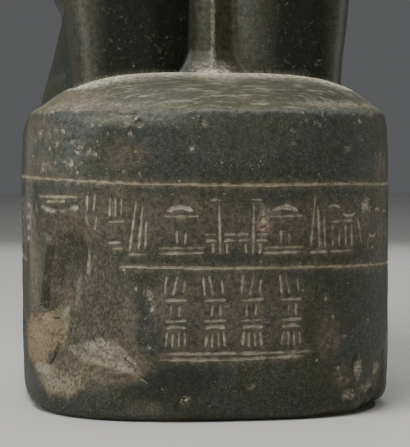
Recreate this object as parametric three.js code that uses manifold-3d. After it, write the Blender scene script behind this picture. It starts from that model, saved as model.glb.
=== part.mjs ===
// Naophorous statue: a man kneels on a tall round-fronted base and holds a small shrine on his lap.
// The whole work is cut from one block of dark stone, so it is one solid.
// Millimetres, +Z up, the figure faces -Y. The origin is under the middle of the base.

import * as THREE from "three";
import { mergeVertices } from "three/addons/utils/BufferGeometryUtils.js";
import Module from "manifold-3d";

const wasm = await Module();
wasm.setup();

// Driving dimensions
const BASE_WIDTH = 200;
const BASE_DEPTH = 290;
const EDGE_HEIGHT = 160; // top of the upright faces of the base
const CREST_HEIGHT = 180; // where the sloping shoulder meets the knees
const FIGURE_HEIGHT = 408;
const KNEE_SETBACK = 57; // from the front of the base to the front of the knees

// The figure is laid out on a grid of twelve squares, from the crest to the top of the wig.
const SQUARE = FIGURE_HEIGHT / 12;
const KNEE_Y = KNEE_SETBACK - BASE_DEPTH / 2;

// How the knees' inner flanks slant back from their front, and where they start, in squares
const FLANK_SLOPE = 0.68;
const FLANK_START = 0.8;

// The plan of the base: an oval with full corners, widest in front of its middle
const WIDEST_Y = -45;
const FRONT_POWER = 2.7;
const BACK_POWER = 2.6;
const SQUARER = 0.03; // how much squarer it grows for each millimetre that it is drawn in
const BASE_POINTS = 64;

// Lines cut round the base above and below the inscription
const LINE_HEIGHTS = [78, 119.6];
const LINE_WIDTH = 1.6;
const LINE_DEPTH = 1;

const STONE = { color: 0x3c3d36, roughness: 0.5, metalness: 0 };

const signedPower = (value, power) => Math.sign(value) * Math.abs(value) ** power;

// From squares of the figure's grid to millimetres
const onGrid = (x, y, z) =>
  new THREE.Vector3(x * SQUARE, KNEE_Y + y * SQUARE, CREST_HEIGHT + z * SQUARE);

// A closed geometry as a solid
function solid(geometry) {
  const bare = geometry.clone();
  bare.deleteAttribute("normal");
  bare.deleteAttribute("uv");
  const merged = mergeVertices(bare, 1e-4);
  return new wasm.Manifold(
    new wasm.Mesh({
      numProp: 3,
      vertProperties: merged.attributes.position.array,
      triVerts: new Uint32Array(merged.index.array),
    }),
  );
}

const join = (solids) => solids.reduce((whole, next) => whole.add(next));

// The same piece on the right and on the left
const pair = (make) => [1, -1].map(make);

// A closed solid through rings of points, which run anticlockwise as seen from the last ring
function skin(rings) {
  const count = rings[0].length;
  const middle = (ring) =>
    ring.reduce((sum, p) => sum.add(p), new THREE.Vector3()).divideScalar(count);
  const points = [...rings.flat(), middle(rings[0]), middle(rings.at(-1))];
  const faces = [];
  const last = (rings.length - 1) * count;
  for (let i = 0; i < count; i++) {
    const j = (i + 1) % count;
    for (let start = 0; start < last; start += count) {
      faces.push(start + i, start + j, start + count + j);
      faces.push(start + i, start + count + j, start + count + i);
    }
    faces.push(points.length - 2, j, i);
    faces.push(points.length - 1, last + i, last + j);
  }
  const geometry = new THREE.BufferGeometry();
  const numbers = points.flatMap((p) => [p.x, p.y, p.z]);
  geometry.setAttribute("position", new THREE.Float32BufferAttribute(numbers, 3));
  geometry.setIndex(faces);
  return solid(geometry);
}

// A smooth value between the rows of a table, where t runs from 0 to 1 over the rows
function between(rows, t) {
  const place = THREE.MathUtils.clamp(t, 0, 1) * (rows.length - 1);
  const i = Math.min(Math.floor(place), rows.length - 2);
  const f = place - i;
  const row = (n) => rows[THREE.MathUtils.clamp(n, 0, rows.length - 1)];
  return rows[i].map((_, column) => {
    const [a, b, c, d] = [i - 1, i, i + 1, i + 2].map((n) => row(n)[column]);
    const [into, out] = [(c - a) / 2, (d - b) / 2];
    const low = (2 * f ** 3 - 3 * f ** 2 + 1) * b + (f ** 3 - 2 * f ** 2 + f) * into;
    return low + (3 * f ** 2 - 2 * f ** 3) * c + (f ** 3 - f ** 2) * out;
  });
}

// The row of a table where its first column reaches a value
function rowAt(rows, value) {
  let [low, high] = [0, 1];
  for (let i = 0; i < 24; i++) {
    const middle = (low + high) / 2;
    if (between(rows, middle)[0] < value) low = middle;
    else high = middle;
  }
  return between(rows, high);
}

// How far a rounded end of some radius draws in, at a distance from that end
const drawnIn = (distance, radius) =>
  distance >= radius ? 0 : radius - Math.sqrt(radius ** 2 - (radius - distance) ** 2);

// Places of rings along a length, closer together on its rounded ends
function ringPlaces(length, steps, [startRadius, endRadius]) {
  const curve = [0, 0.1, 0.4];
  const start = startRadius ? curve.map((part) => part * startRadius) : [];
  const end = endRadius ? curve.map((part) => length - part * endRadius).reverse() : [];
  const run = (length - startRadius - endRadius) / steps;
  const middle = Array.from({ length: steps + 1 }, (_, i) => startRadius + run * i);
  return [...start, ...middle, ...end];
}

// A body of rounded sections in squares, stacked upwards or running from front to back. A row is its
// place along the body, the middle across, the other middle, the half width and the other half size.
function body(rows, { along = "z", power = 2.4, points = 20, steps = 7, round = [0, 0] } = {}) {
  const [first, last] = [rows[0][0], rows.at(-1)[0]];
  const rings = ringPlaces(last - first, steps, round).map((distance) => {
    const [, middleX, middleV, halfX, halfV] = rowAt(rows, first + distance);
    const startInset = drawnIn(distance, round[0]);
    const inset = Math.max(startInset, drawnIn(last - first - distance, round[1]));
    return Array.from({ length: points }, (_, i) => {
      const angle = (2 * Math.PI * (i + 0.5)) / points;
      const u = middleX + Math.max(halfX - inset, 0.02) * signedPower(Math.cos(angle), 2 / power);
      const v = middleV + Math.max(halfV - inset, 0.02) * signedPower(Math.sin(angle), 2 / power);
      return along === "z" ? onGrid(u, v, first + distance) : onGrid(u, first + distance, v);
    });
  });
  // Seen from behind, x and z turn the other way round than x and y do from above.
  return skin(along === "z" ? rings : rings.map((ring) => ring.reverse()));
}

// A limb along a bent path in squares. A row is x, y, z, the half thickness across and the other one.
function limb(rows, { points = 12, steps = 9 } = {}) {
  const rings = Array.from({ length: steps + 1 }, (_, i) => {
    const t = i / steps;
    const [x, y, z, across, deep] = between(rows, t);
    const [ahead, behind] = [t + 0.02, t - 0.02].map((s) => onGrid(...between(rows, s)));
    const way = ahead.sub(behind).normalize();
    const side = new THREE.Vector3(1, 0, 0).addScaledVector(way, -way.x).normalize();
    const other = way.clone().cross(side);
    return Array.from({ length: points }, (_, k) => {
      const angle = (2 * Math.PI * k) / points;
      return onGrid(x, y, z)
        .addScaledVector(side, across * SQUARE * Math.cos(angle))
        .addScaledVector(other, deep * SQUARE * Math.sin(angle));
    });
  });
  return skin(rings);
}

// A block between two corners, in squares, which may draw in towards its top
function block([x0, y0, z0], [x1, y1, z1], batter = 0) {
  const ring = (z, inset) => [
    onGrid(x0 + inset, y0 + inset, z),
    onGrid(x1 - inset, y0 + inset, z),
    onGrid(x1 - inset, y1 - inset, z),
    onGrid(x0 + inset, y1 - inset, z),
  ];
  return skin([ring(z0, 0), ring(z1, batter)]);
}

// A rounded lump with its middle and half sizes in squares
function lump([x, y, z], [halfX, halfY, halfZ], [across, up] = [12, 6]) {
  const middle = onGrid(x, y, z);
  const ball = new THREE.SphereGeometry(1, across, up).rotateX(Math.PI / 2);
  ball.scale(halfX * SQUARE, halfY * SQUARE, halfZ * SQUARE);
  return solid(ball.translate(middle.x, middle.y, middle.z));
}

// A point of the base's outline, drawn in by an inset in millimetres
function outline(angle, inset) {
  const forward = Math.sin(angle) < 0;
  const power = (forward ? FRONT_POWER : BACK_POWER) + SQUARER * Math.max(inset, 0);
  const reach = BASE_DEPTH / 2 + (forward ? WIDEST_Y : -WIDEST_Y) - inset;
  return [
    (BASE_WIDTH / 2 - inset) * signedPower(Math.cos(angle), 2 / power),
    WIDEST_Y + reach * signedPower(Math.sin(angle), 2 / power),
  ];
}

const outlineRing = (z, inset) =>
  Array.from({ length: BASE_POINTS }, (_, i) => {
    const angle = (2 * Math.PI * (i + 0.5)) / BASE_POINTS;
    return new THREE.Vector3(...outline(angle, inset), z);
  });

// The tall base: a little barrelled, worn round below, with a shoulder that slopes up to the figure
function baseBlock() {
  const rows = [
    [0, 7],
    [2.5, 3],
    [9, 1],
    [40, 0],
    [115, 0],
    [145, 0.8],
    [EDGE_HEIGHT - 4, 1.7],
    [EDGE_HEIGHT, 3.8],
    [EDGE_HEIGHT + 3, 8.2],
    [EDGE_HEIGHT + 8.5, 17],
    [EDGE_HEIGHT + 13, 26],
    [CREST_HEIGHT - 2.5, 40],
    [CREST_HEIGHT, 58],
    [CREST_HEIGHT + 1, 84],
  ];
  return skin(rows.map(([z, inset]) => outlineRing(z, inset)));
}

// A line cut round the base
function ruledLine(z) {
  const belt = (inset) => skin([outlineRing(z, inset), outlineRing(z + LINE_WIDTH, inset)]);
  return belt(-4).subtract(belt(LINE_DEPTH));
}

// A broken hollow with its middle and half sizes in millimetres, rough because its points vary
function hollow(middle, halfSizes, roughness = 0.16) {
  const rock = new THREE.IcosahedronGeometry(1, 2);
  const place = rock.attributes.position;
  for (let i = 0; i < place.count; i++) {
    const point = new THREE.Vector3().fromBufferAttribute(place, i);
    const wave = Math.sin(9 * point.x + middle[0]) * Math.sin(7 * point.z + 11 * point.y);
    point.multiplyScalar(1 + roughness * wave);
    place.setXYZ(i, point.x, point.y, point.z);
  }
  rock.scale(...halfSizes).translate(...middle);
  return solid(rock);
}

// What has broken away: a trough and a flaked dish at the lower left, and a chip at the lower right
const losses = () => [
  hollow([-102, -116, 64], [34, 20, 40]),
  hollow([-77, -140, 46], [30, 15, 36]),
  hollow([92, -122, 5], [20, 22, 17]),
];

// The stone taken off the inner side of a knee's front, down to a broad slanting flank
function innerFlank(side) {
  const past = 0.4;
  const corners = [
    [-past, -past],
    [FLANK_START + past / FLANK_SLOPE, -past],
    [-past, (FLANK_START + past) * FLANK_SLOPE],
  ].map(([x, y]) => [x * side, y]);
  if (side < 0) corners.reverse();
  return skin([-1, 2.8].map((z) => corners.map(([x, y]) => onGrid(x, y, z))));
}

// One bent leg: the knee, the calf that spreads behind it, the thigh on top and the upright foot
function leg(side) {
  const knee = [
    [-0.9, 1.22 * side, 0.88, 0.96, 0.88],
    [0, 1.22 * side, 0.88, 0.96, 0.88],
    [1, 1.26 * side, 0.9, 1.03, 0.91],
    [2, 1.28 * side, 0.98, 1.08, 0.98],
    [2.7, 1.26 * side, 1.2, 1.04, 1.1],
  ];
  const calf = [
    [-0.5, 1.24 * side, 3.3, 1.3, 2.1],
    [-0.24, 1.24 * side, 3.3, 1.26, 2.06],
    [0.3, 1.22 * side, 3.4, 1.12, 1.96],
    [0.94, 1.2 * side, 3.5, 0.98, 1.86],
    [1.35, 1.2 * side, 3.6, 0.85, 1.7],
  ];
  const thigh = [
    [0.3, 1.23 * side, 1.9, 0.97, 0.95],
    [1.6, 1.27 * side, 1.88, 1.1, 1.12],
    [3.2, 1.24 * side, 1.9, 1.16, 1.15],
    [5.3, 1.05 * side, 2, 1.01, 1.1],
  ];
  const foot = [
    [-0.7, 1.32 * side, 5.1, 0.58, 0.7],
    [0.2, 1.32 * side, 5.16, 0.56, 0.62],
    [0.75, 1.28 * side, 5.34, 0.46, 0.4],
    [1.4, 1.2 * side, 5.36, 0.42, 0.38],
    [2.2, 1.14 * side, 5.28, 0.46, 0.48],
  ];
  return join([
    body(knee, { power: 3.2, points: 22, steps: 3, round: [0, 0.66] }).subtract(innerFlank(side)),
    body(calf, { power: 2.8, points: 24, steps: 4, round: [0, 0.2] }),
    body(thigh, { along: "y", points: 18, steps: 5, round: [0.5, 0.5] }),
    body(foot, { power: 2.8, points: 14, steps: 6, round: [0, 0.3] }),
  ]);
}

// The stone left between the legs: a ridge whose flanks slant back, and the web behind it. A row of
// the ridge is its height and how far its crest stands behind the knees' front.
function filling() {
  const rows = [
    [-0.6, -0.5],
    [-0.1, -0.3],
    [0.14, -0.06],
    [0.36, 0.08],
    [2, 0.12],
    [2.3, 0.5],
  ];
  const [reach, back] = [0.75, 1.3];
  const ridge = rows.map(([z, crest]) => {
    const valley = crest + FLANK_SLOPE * reach;
    return [
      onGrid(0, crest, z),
      onGrid(reach, valley, z),
      onGrid(reach, back, z),
      onGrid(-reach, back, z),
      onGrid(-reach, valley, z),
    ];
  });
  return join([
    skin(ridge),
    block([-0.9, 0.9, -0.4], [0.9, 5, 2.35]),
    block([-1.3, 1.2, -0.4], [1.3, 5, 1.9]),
    block([-1.1, 4.6, -0.5], [1.1, 5.5, 2.2]),
  ]);
}

// Hips, waist, chest and shoulders in one rise, and the neck
function torso() {
  const rows = [
    [1.9, 0, 4.5, 1.8, 1.25],
    [2.9, 0, 4.5, 1.86, 1.3],
    [4.0, 0, 4.45, 1.6, 1.15],
    [5.0, 0, 4.38, 1.32, 0.94],
    [6.0, 0, 4.35, 1.42, 0.96],
    [7.2, 0, 4.35, 1.84, 1.1],
    [8.0, 0, 4.42, 2.12, 1.06],
    [8.7, 0, 4.48, 2.16, 0.8],
    [9.0, 0, 4.54, 1.7, 0.56],
    [9.4, 0, 4.58, 0.76, 0.44],
  ];
  const neck = [
    [8.8, 0, 4.4, 0.68, 0.68],
    [9.5, 0, 4.22, 0.54, 0.56],
    [10.2, 0, 4.15, 0.56, 0.6],
  ];
  return join([
    body(rows, { points: 26, steps: 12, round: [0.3, 0] }),
    body(neck, { points: 14, steps: 2 }),
  ]);
}

// Shoulder, upper arm, forearm and the flat hand on the side of the shrine
function arm(side) {
  const rows = [
    [2.06 * side, 4.5, 8.5, 0.44, 0.46],
    [2.2 * side, 4.5, 7.9, 0.53, 0.64],
    [2.28 * side, 4.5, 7.3, 0.47, 0.58],
    [2.3 * side, 4.48, 6.8, 0.43, 0.53],
    [2.32 * side, 4.42, 5.9, 0.4, 0.48],
    [2.28 * side, 4.22, 5.06, 0.41, 0.45],
    [2.1 * side, 3.7, 4.64, 0.41, 0.44],
    [1.86 * side, 2.9, 4.5, 0.36, 0.42],
    [1.6 * side, 2.2, 4.46, 0.28, 0.38],
    [1.46 * side, 1.75, 4.46, 0.22, 0.38],
  ];
  const hand = [
    [0.4, 1.24 * side, 4.46, 0.13, 0.36],
    [1.1, 1.26 * side, 4.46, 0.16, 0.44],
    [1.9, 1.36 * side, 4.46, 0.24, 0.42],
  ];
  return join([
    lump([2.02 * side, 4.48, 8.1], [0.66, 0.68, 0.78], [14, 8]),
    limb(rows, { points: 14, steps: 13 }),
    body(hand, { along: "y", power: 3, points: 12, steps: 2, round: [0.12, 0] }),
  ]);
}

// The stone webs that fill the gaps between arms, body, lap and shrine
function webs() {
  const besideBody = (side) => {
    const [inner, outer] = [1.1 * side, 2.2 * side];
    return block([Math.min(inner, outer), 4.15, 4.3], [Math.max(inner, outer), 4.85, 8.1]);
  };
  const underArms = [
    [1.5, 0, 3.2, 1.22, 1.1],
    [2.9, 0, 3.2, 1.66, 1.15],
    [4.5, 0, 3.2, 1.98, 1.2],
  ];
  return join([
    ...pair(besideBody),
    body(underArms, { along: "y", power: 5, points: 16, steps: 4 }),
    block([-0.96, 2.2, 2.2], [0.96, 4, 6.1], 0.04),
  ]);
}

// The small shrine: drawn in towards the top, with a cornice, a rounded roof and an open niche
function shrine() {
  const [front, back] = [0.5, 2.5];
  const ring = (z, halfWidth, grow) => [
    onGrid(-halfWidth, front - grow, z),
    onGrid(halfWidth, front - grow, z),
    onGrid(halfWidth, back + grow, z),
    onGrid(-halfWidth, back + grow, z),
  ];
  const profile = [
    [2.3, 1.2, 0.04],
    [2.86, 1.18, 0.04],
    [2.9, 1.14, 0],
    [6.0, 1.06, -0.06],
    [6.02, 1.1, -0.02],
    [6.12, 1.1, -0.02],
    [6.14, 1.05, -0.07],
    [6.32, 1.08, -0.04],
    [6.48, 1.16, 0.04],
    [6.56, 1.24, 0.12],
    [6.7, 1.24, 0.12],
    [6.72, 1.16, 0.02],
    [6.86, 1.1, -0.2],
    [6.92, 1.0, -0.6],
  ];
  const walls = skin(profile.map((row) => ring(...row)));
  const niche = block([-0.72, -0.2, 3.18], [0.72, 0.98, 5.72]);
  return walls.subtract(niche);
}

// The small wrapped standing figure in the niche
function nicheFigure() {
  const rows = [
    [3.1, 0, 0.8, 0.26, 0.24],
    [3.3, 0, 0.84, 0.24, 0.2],
    [4.0, 0, 0.86, 0.27, 0.2],
    [4.5, 0, 0.84, 0.34, 0.22],
    [4.78, 0, 0.86, 0.36, 0.18],
    [4.94, 0, 0.86, 0.16, 0.15],
    [5.12, 0, 0.82, 0.17, 0.18],
    [5.32, 0, 0.84, 0.15, 0.16],
    [5.62, 0, 0.9, 0.06, 0.08],
  ];
  return body(rows, { points: 12, steps: 11 });
}

// The head in its plain bag wig, which is cut away in front of the face
function head() {
  const skull = [
    [9.5, 0, 3.92, 0.32, 0.42],
    [9.7, 0, 3.92, 0.48, 0.6],
    [10.1, 0, 3.96, 0.66, 0.74],
    [10.6, 0, 4.0, 0.74, 0.79],
    [11.0, 0, 4.03, 0.76, 0.81],
    [11.6, 0, 4.1, 0.7, 0.8],
  ];
  const wig = [
    [8.9, 0, 4.78, 1.4, 0.56],
    [9.5, 0, 4.7, 1.42, 0.72],
    [10.2, 0, 4.54, 1.34, 0.92],
    [10.9, 0, 4.36, 1.2, 1.08],
    [11.4, 0, 4.28, 1.08, 1.1],
    [12.0, 0, 4.3, 0.9, 0.96],
  ];
  const opening = [
    [2.6, 0, 10.2, 0.8, 1.02],
    [3.2, 0, 10.2, 0.8, 1.02],
    [3.9, 0, 10.2, 0.84, 1.02],
  ];
  const nose = [
    [0, 3.31, 10.95, 0.08, 0.1],
    [0, 3.24, 10.7, 0.1, 0.12],
    [0, 3.17, 10.48, 0.16, 0.14],
    [0, 3.24, 10.38, 0.13, 0.08],
  ];
  const eye = (side) => lump([0.33 * side, 3.32, 10.8], [0.21, 0.12, 0.1], [10, 6]);
  const ear = (side) => lump([0.9 * side, 3.7, 10.62], [0.14, 0.16, 0.34], [8, 6]);
  const face = join([
    body(skull, { power: 2.2, points: 20, steps: 8, round: [0.1, 0.3] }),
    limb(nose, { points: 8, steps: 3 }),
    lump([0, 3.26, 10.12], [0.27, 0.1, 0.1], [12, 4]),
    ...pair(eye),
    ...pair(ear),
  ]);
  return body(wig, { power: 2.3, points: 26, steps: 8, round: [0.1, 0.62] })
    .subtract(body(opening, { along: "y", power: 2.6, points: 18, steps: 1 }))
    .add(face);
}

// The plain pillar up the back, from the base to the wig
const backPillar = () => block([-0.78, 4.6, -0.8], [0.78, 6.1, 11], 0.06);

function statue() {
  const figure = join([
    filling(),
    torso(),
    webs(),
    shrine(),
    nicheFigure(),
    head(),
    backPillar(),
    ...pair(leg),
    ...pair(arm),
  ]);
  const cuts = [...LINE_HEIGHTS.map(ruledLine), ...losses()];
  const carvedBase = cuts.reduce((rest, cut) => rest.subtract(cut), baseBlock());
  return carvedBase.add(figure);
}

// A manifold solid as a named mesh
function meshOf(name, whole) {
  const { vertProperties, triVerts } = whole.getMesh();
  const geometry = new THREE.BufferGeometry();
  geometry.setAttribute("position", new THREE.Float32BufferAttribute(vertProperties, 3));
  geometry.setIndex(Array.from(triVerts));
  geometry.computeVertexNormals();
  const mesh = new THREE.Mesh(geometry, new THREE.MeshStandardMaterial(STONE));
  mesh.name = name;
  return mesh;
}

const model = new THREE.Group();
model.add(meshOf("naophorous_statue", statue()));
export default model;
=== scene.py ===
"""The looks of a naophorous statue: a kneeling man with a small shrine, cut from one dark stone."""

import math

import bpy
import numpy as np
import openvdb
from mathutils import Matrix, Vector


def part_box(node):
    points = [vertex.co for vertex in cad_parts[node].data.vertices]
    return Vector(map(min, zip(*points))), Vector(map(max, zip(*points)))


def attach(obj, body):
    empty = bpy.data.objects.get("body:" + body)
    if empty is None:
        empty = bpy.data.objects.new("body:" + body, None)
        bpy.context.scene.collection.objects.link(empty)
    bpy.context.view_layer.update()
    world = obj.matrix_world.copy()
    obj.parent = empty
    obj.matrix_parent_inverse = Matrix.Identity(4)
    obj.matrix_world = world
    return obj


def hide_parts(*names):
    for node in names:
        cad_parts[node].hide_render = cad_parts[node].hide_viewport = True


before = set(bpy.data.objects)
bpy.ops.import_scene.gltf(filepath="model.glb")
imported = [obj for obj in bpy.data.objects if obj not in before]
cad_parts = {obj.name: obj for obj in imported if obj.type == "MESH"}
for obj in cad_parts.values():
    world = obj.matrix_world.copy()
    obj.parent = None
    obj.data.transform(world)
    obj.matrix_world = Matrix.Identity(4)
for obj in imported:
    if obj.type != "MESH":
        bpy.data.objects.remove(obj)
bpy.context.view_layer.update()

bl_info = {
    "name": "Naophorous statue",
    "version": (1, 0, 0),
    "blender": (4, 5, 0),
    "location": "3D View > Sidebar > Statue",
    "description": "Carves a kneeling stone statue with a shrine around its solid",
    "category": "Object",
}

NODE = "naophorous_statue"
LOW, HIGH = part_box(NODE)

# The statue is drawn in millimetres at 588 mm tall, and this many metres go to one of them.
DRAWN_HEIGHT = 588
MM = (HIGH.z - LOW.z) / DRAWN_HEIGHT

BASE_WIDTH = 200
BASE_DEPTH = 290
EDGE_HEIGHT = 160
CREST_HEIGHT = 180
KNEE_SETBACK = 57

# The figure is laid out on twelve squares, from the crest of the base to the top of the wig.
SQUARE = (DRAWN_HEIGHT - CREST_HEIGHT) / 12
KNEE_Y = KNEE_SETBACK - BASE_DEPTH / 2

# The plan of the base
WIDEST_Y = -45
FRONT_POWER = 2.7
BACK_POWER = 2.6
SQUARER = 0.03

# The inscription's ruled lines, and the line that the short columns stand on
LINE_HEIGHTS = (78.6, 120.6)
GROUND_HEIGHT = 34

SEED = 7


# Shapes read from tables

def smooth_rows(rows, samples=160):
    """Many rows on a smooth curve through the rows of a table."""
    rows = np.array(rows, float)
    place = np.linspace(0, len(rows) - 1, samples)
    index = np.minimum(place.astype(int), len(rows) - 2)
    f = (place - index)[:, None]
    padded = np.vstack([rows[:1], rows, rows[-1:]])
    before, start, end, after = (padded[index + k] for k in range(4))
    into, out = (end - before) / 2, (after - start) / 2
    first = (2 * f**3 - 3 * f**2 + 1) * start + (f**3 - 2 * f**2 + f) * into
    return first + (3 * f**2 - 2 * f**3) * end + (f**3 - f**2) * out


def drawn_in(distance, radius):
    """How far a rounded end draws in, at a distance from that end."""
    short = np.clip(radius - distance, 0, radius)
    return radius - np.sqrt(np.maximum(radius**2 - short**2, 0))


def step_up(value, low, high):
    """A soft step from 0 at low to 1 at high."""
    t = np.clip((value - low) / (high - low), 0, 1)
    return t * t * (3 - 2 * t)


class Form:
    """A carved form on the figure's grid: the box that holds it and its signed distance."""

    def __init__(self, low, high, distance):
        self.low = np.array(low, float)
        self.high = np.array(high, float)
        self.distance = distance


def body(rows, along="z", power=2.4, round_ends=(0, 0)):
    """Rounded sections stacked upwards or from front to back, as the solid's tables give them."""
    curve = smooth_rows(rows)
    first, last = rows[0][0], rows[-1][0]

    def distance(x, y, z):
        t, v = (z, y) if along == "z" else (y, z)
        at = np.clip(t, first, last)
        middle_x, middle_v, half_x, half_v = (
            np.interp(at, curve[:, 0], curve[:, k]).astype(np.float32) for k in range(1, 5)
        )
        inset = np.maximum(drawn_in(t - first, round_ends[0]), drawn_in(last - t, round_ends[1]))
        half_x = np.maximum(half_x - inset, 0.02)
        half_v = np.maximum(half_v - inset, 0.02)
        across = np.abs(x - middle_x) / half_x
        other = np.abs(v - middle_v) / half_v
        reach = np.maximum(across**power + other**power, 1e-3) ** (1 / power)
        slope_x = across ** (power - 1) / half_x
        slope_v = other ** (power - 1) / half_v
        slope = np.sqrt(slope_x**2 + slope_v**2) * reach ** (1 - power)
        side = (reach - 1) / np.maximum(slope, 0.3)
        return np.maximum(side, np.maximum(first - t, t - last))

    across = curve[:, 1]
    low_x, high_x = (across - curve[:, 3]).min(), (across + curve[:, 3]).max()
    low_v, high_v = (curve[:, 2] - curve[:, 4]).min(), (curve[:, 2] + curve[:, 4]).max()
    if along == "z":
        return Form((low_x, low_v, first), (high_x, high_v, last), distance)
    return Form((low_x, first, low_v), (high_x, last, high_v), distance)


def limb(rows, samples=22):
    """A limb along a bent path. A row is x, y, z and the half thickness across and the other way."""
    curve = smooth_rows([row if len(row) == 5 else (*row, row[3]) for row in rows], samples)

    def distance(x, y, z):
        nearest = None
        for start, end in zip(curve[:-1], curve[1:]):
            way = end[:3] - start[:3]
            gap = [x - start[0], y - start[1], z - start[2]]
            part = sum(g * w for g, w in zip(gap, way)) / (way @ way)
            part = np.clip(part, 0, 1)
            across = start[3] + (end[3] - start[3]) * part
            deep = start[4] + (end[4] - start[4]) * part
            off = [g - w * part for g, w in zip(gap, way)]
            apart = np.sqrt((off[0] * deep / across) ** 2 + off[1] ** 2 + off[2] ** 2) - deep
            nearest = apart if nearest is None else np.minimum(nearest, apart)
        return nearest

    reach = curve[:, 3:].max(axis=1)[:, None]
    return Form((curve[:, :3] - reach).min(0), (curve[:, :3] + reach).max(0), distance)


def lump(middle, halves):
    """A rounded lump."""
    def distance(x, y, z):
        gaps = [(a - m) / h for a, m, h in zip((x, y, z), middle, halves)]
        reach = np.sqrt(sum(g**2 for g in gaps))
        slope = np.sqrt(sum((g / h) ** 2 for g, h in zip(gaps, halves)))
        return reach * (reach - 1) / np.maximum(slope, 1e-3)

    middle, halves = np.array(middle, float), np.array(halves, float)
    return Form(middle - halves, middle + halves, distance)


def block(low, high, batter=0.0, soft=0.03):
    """A block between two corners, which may draw in towards its top, with soft edges."""
    def distance(x, y, z):
        inset = batter * np.clip((z - low[2]) / (high[2] - low[2]), 0, 1) + soft
        gaps = []
        for k, a in enumerate((x, y, z)):
            lean = soft if k == 2 else inset
            gaps.append(np.maximum(low[k] + lean - a, a - high[k] + lean))
        outside = np.sqrt(sum(np.maximum(g, 0) ** 2 for g in gaps))
        inside = np.minimum(np.maximum(np.maximum(gaps[0], gaps[1]), gaps[2]), 0)
        return outside + inside - soft

    return Form(low, high, distance)


def turned_box(profile, front, back, soft=0.015):
    """Walls whose half width and depth follow a profile of height, half width and growth."""
    profile = np.array(profile, float)
    low, high = profile[0, 0], profile[-1, 0]
    middle, half_depth = (front + back) / 2, (back - front) / 2

    def distance(x, y, z):
        at = np.clip(z, low, high)
        half_x = np.interp(at, profile[:, 0], profile[:, 1]) - soft
        half_y = half_depth + np.interp(at, profile[:, 0], profile[:, 2]) - soft
        gap_x = np.abs(x) - half_x
        gap_y = np.abs(y - middle) - half_y
        outside = np.sqrt(np.maximum(gap_x, 0) ** 2 + np.maximum(gap_y, 0) ** 2)
        side = outside + np.minimum(np.maximum(gap_x, gap_y), 0) - soft
        return np.maximum(side, np.maximum(low - z, z - high))

    wide, grown = profile[:, 1].max(), profile[:, 2].max()
    return Form((-wide, front - grown, low), (wide, back + grown, high), distance)


# Forms joined into one field

FAR = 0.6


def soft_least(a, b, blend):
    """The lower of two values, with a soft fillet where they are close."""
    if blend <= 0:
        return np.minimum(a, b)
    h = np.clip(0.5 + 0.5 * (b - a) / blend, 0, 1)
    return b + (a - b) * h - blend * h * (1 - h)


def carve(steps, low, high, spacing):
    """Points and faces of a form that is even on both sides, carved step by step in its right half.

    A step is "add" or "cut" with a form and a blend, or "raise" with a form whose distance is a height.
    """
    axes = [
        np.arange(max(a, 0) + spacing / 2 if k == 0 else a, b, spacing).astype(np.float32)
        for k, (a, b) in enumerate(zip(low, high))
    ]
    field = np.full([len(a) for a in axes], FAR, np.float32)
    for kind, form, blend in steps:
        margin = blend + 4 * spacing
        window = tuple(
            slice(*np.searchsorted(axis, (a - margin, b + margin)))
            for axis, a, b in zip(axes, form.low, form.high)
        )
        near = field[window]
        if near.size == 0:
            continue
        x, y, z = np.meshgrid(*[a[w] for a, w in zip(axes, window)], indexing="ij", sparse=True)
        value = form.distance(x, y, z)
        if kind == "add":
            field[window] = soft_least(near, value, blend)
        elif kind == "cut":
            field[window] = -soft_least(-near, value, blend)
        else:
            field[window] = near - value
    both = np.concatenate([field[::-1], field])
    grid = openvdb.FloatGrid(3 * spacing)
    grid.copyFromArray(np.clip(both, -3 * spacing, 3 * spacing))
    points, _, quads = grid.convertToPolygons(0.0, 0.0)
    points = points.astype(float) * spacing
    points[:, 0] -= (len(axes[0]) - 0.5) * spacing
    points[:, 1] += axes[1][0]
    points[:, 2] += axes[2][0]
    return points, quads


def on_grid(points):
    """From squares of the figure's grid to drawn millimetres."""
    return points * SQUARE + np.array((0, KNEE_Y, CREST_HEIGHT))


# Noise

NOISE_TABLE = np.random.default_rng(SEED).uniform(-1, 1, 8192)


def table_value(*cells):
    """A fixed random value for whole-numbered cells."""
    primes = (73856093, 19349663, 83492791, 2971215073)
    mixed = np.zeros(cells[0].shape, np.int64)
    for cell, prime in zip(cells, primes):
        mixed ^= cell.astype(np.int64) * prime
    mixed ^= mixed >> 13
    return NOISE_TABLE[mixed & 8191]


def noise(points, size, seed=0):
    """Smooth random values from -1 to 1 over points, with lumps of about that size."""
    scaled = points / size + seed * 17.31
    cell = np.floor(scaled).astype(np.int64)
    f = scaled - cell
    f = f * f * (3 - 2 * f)
    total = np.zeros(len(points))
    count = points.shape[1]
    for corner in range(2**count):
        bits = [(corner >> k) & 1 for k in range(count)]
        weight = np.ones(len(points))
        for k, bit in enumerate(bits):
            weight *= f[:, k] if bit else 1 - f[:, k]
        spots = [cell[:, k] + bit for k, bit in enumerate(bits)]
        total += weight * table_value(*spots, np.full(len(points), seed))
    return total


def rough(points, size, octaves=3, seed=0):
    """Noise with finer and weaker noise on top."""
    parts = [noise(points, size / 2**k, seed + k) / 2**k for k in range(octaves)]
    return sum(parts) / sum(0.5**k for k in range(octaves))


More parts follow.
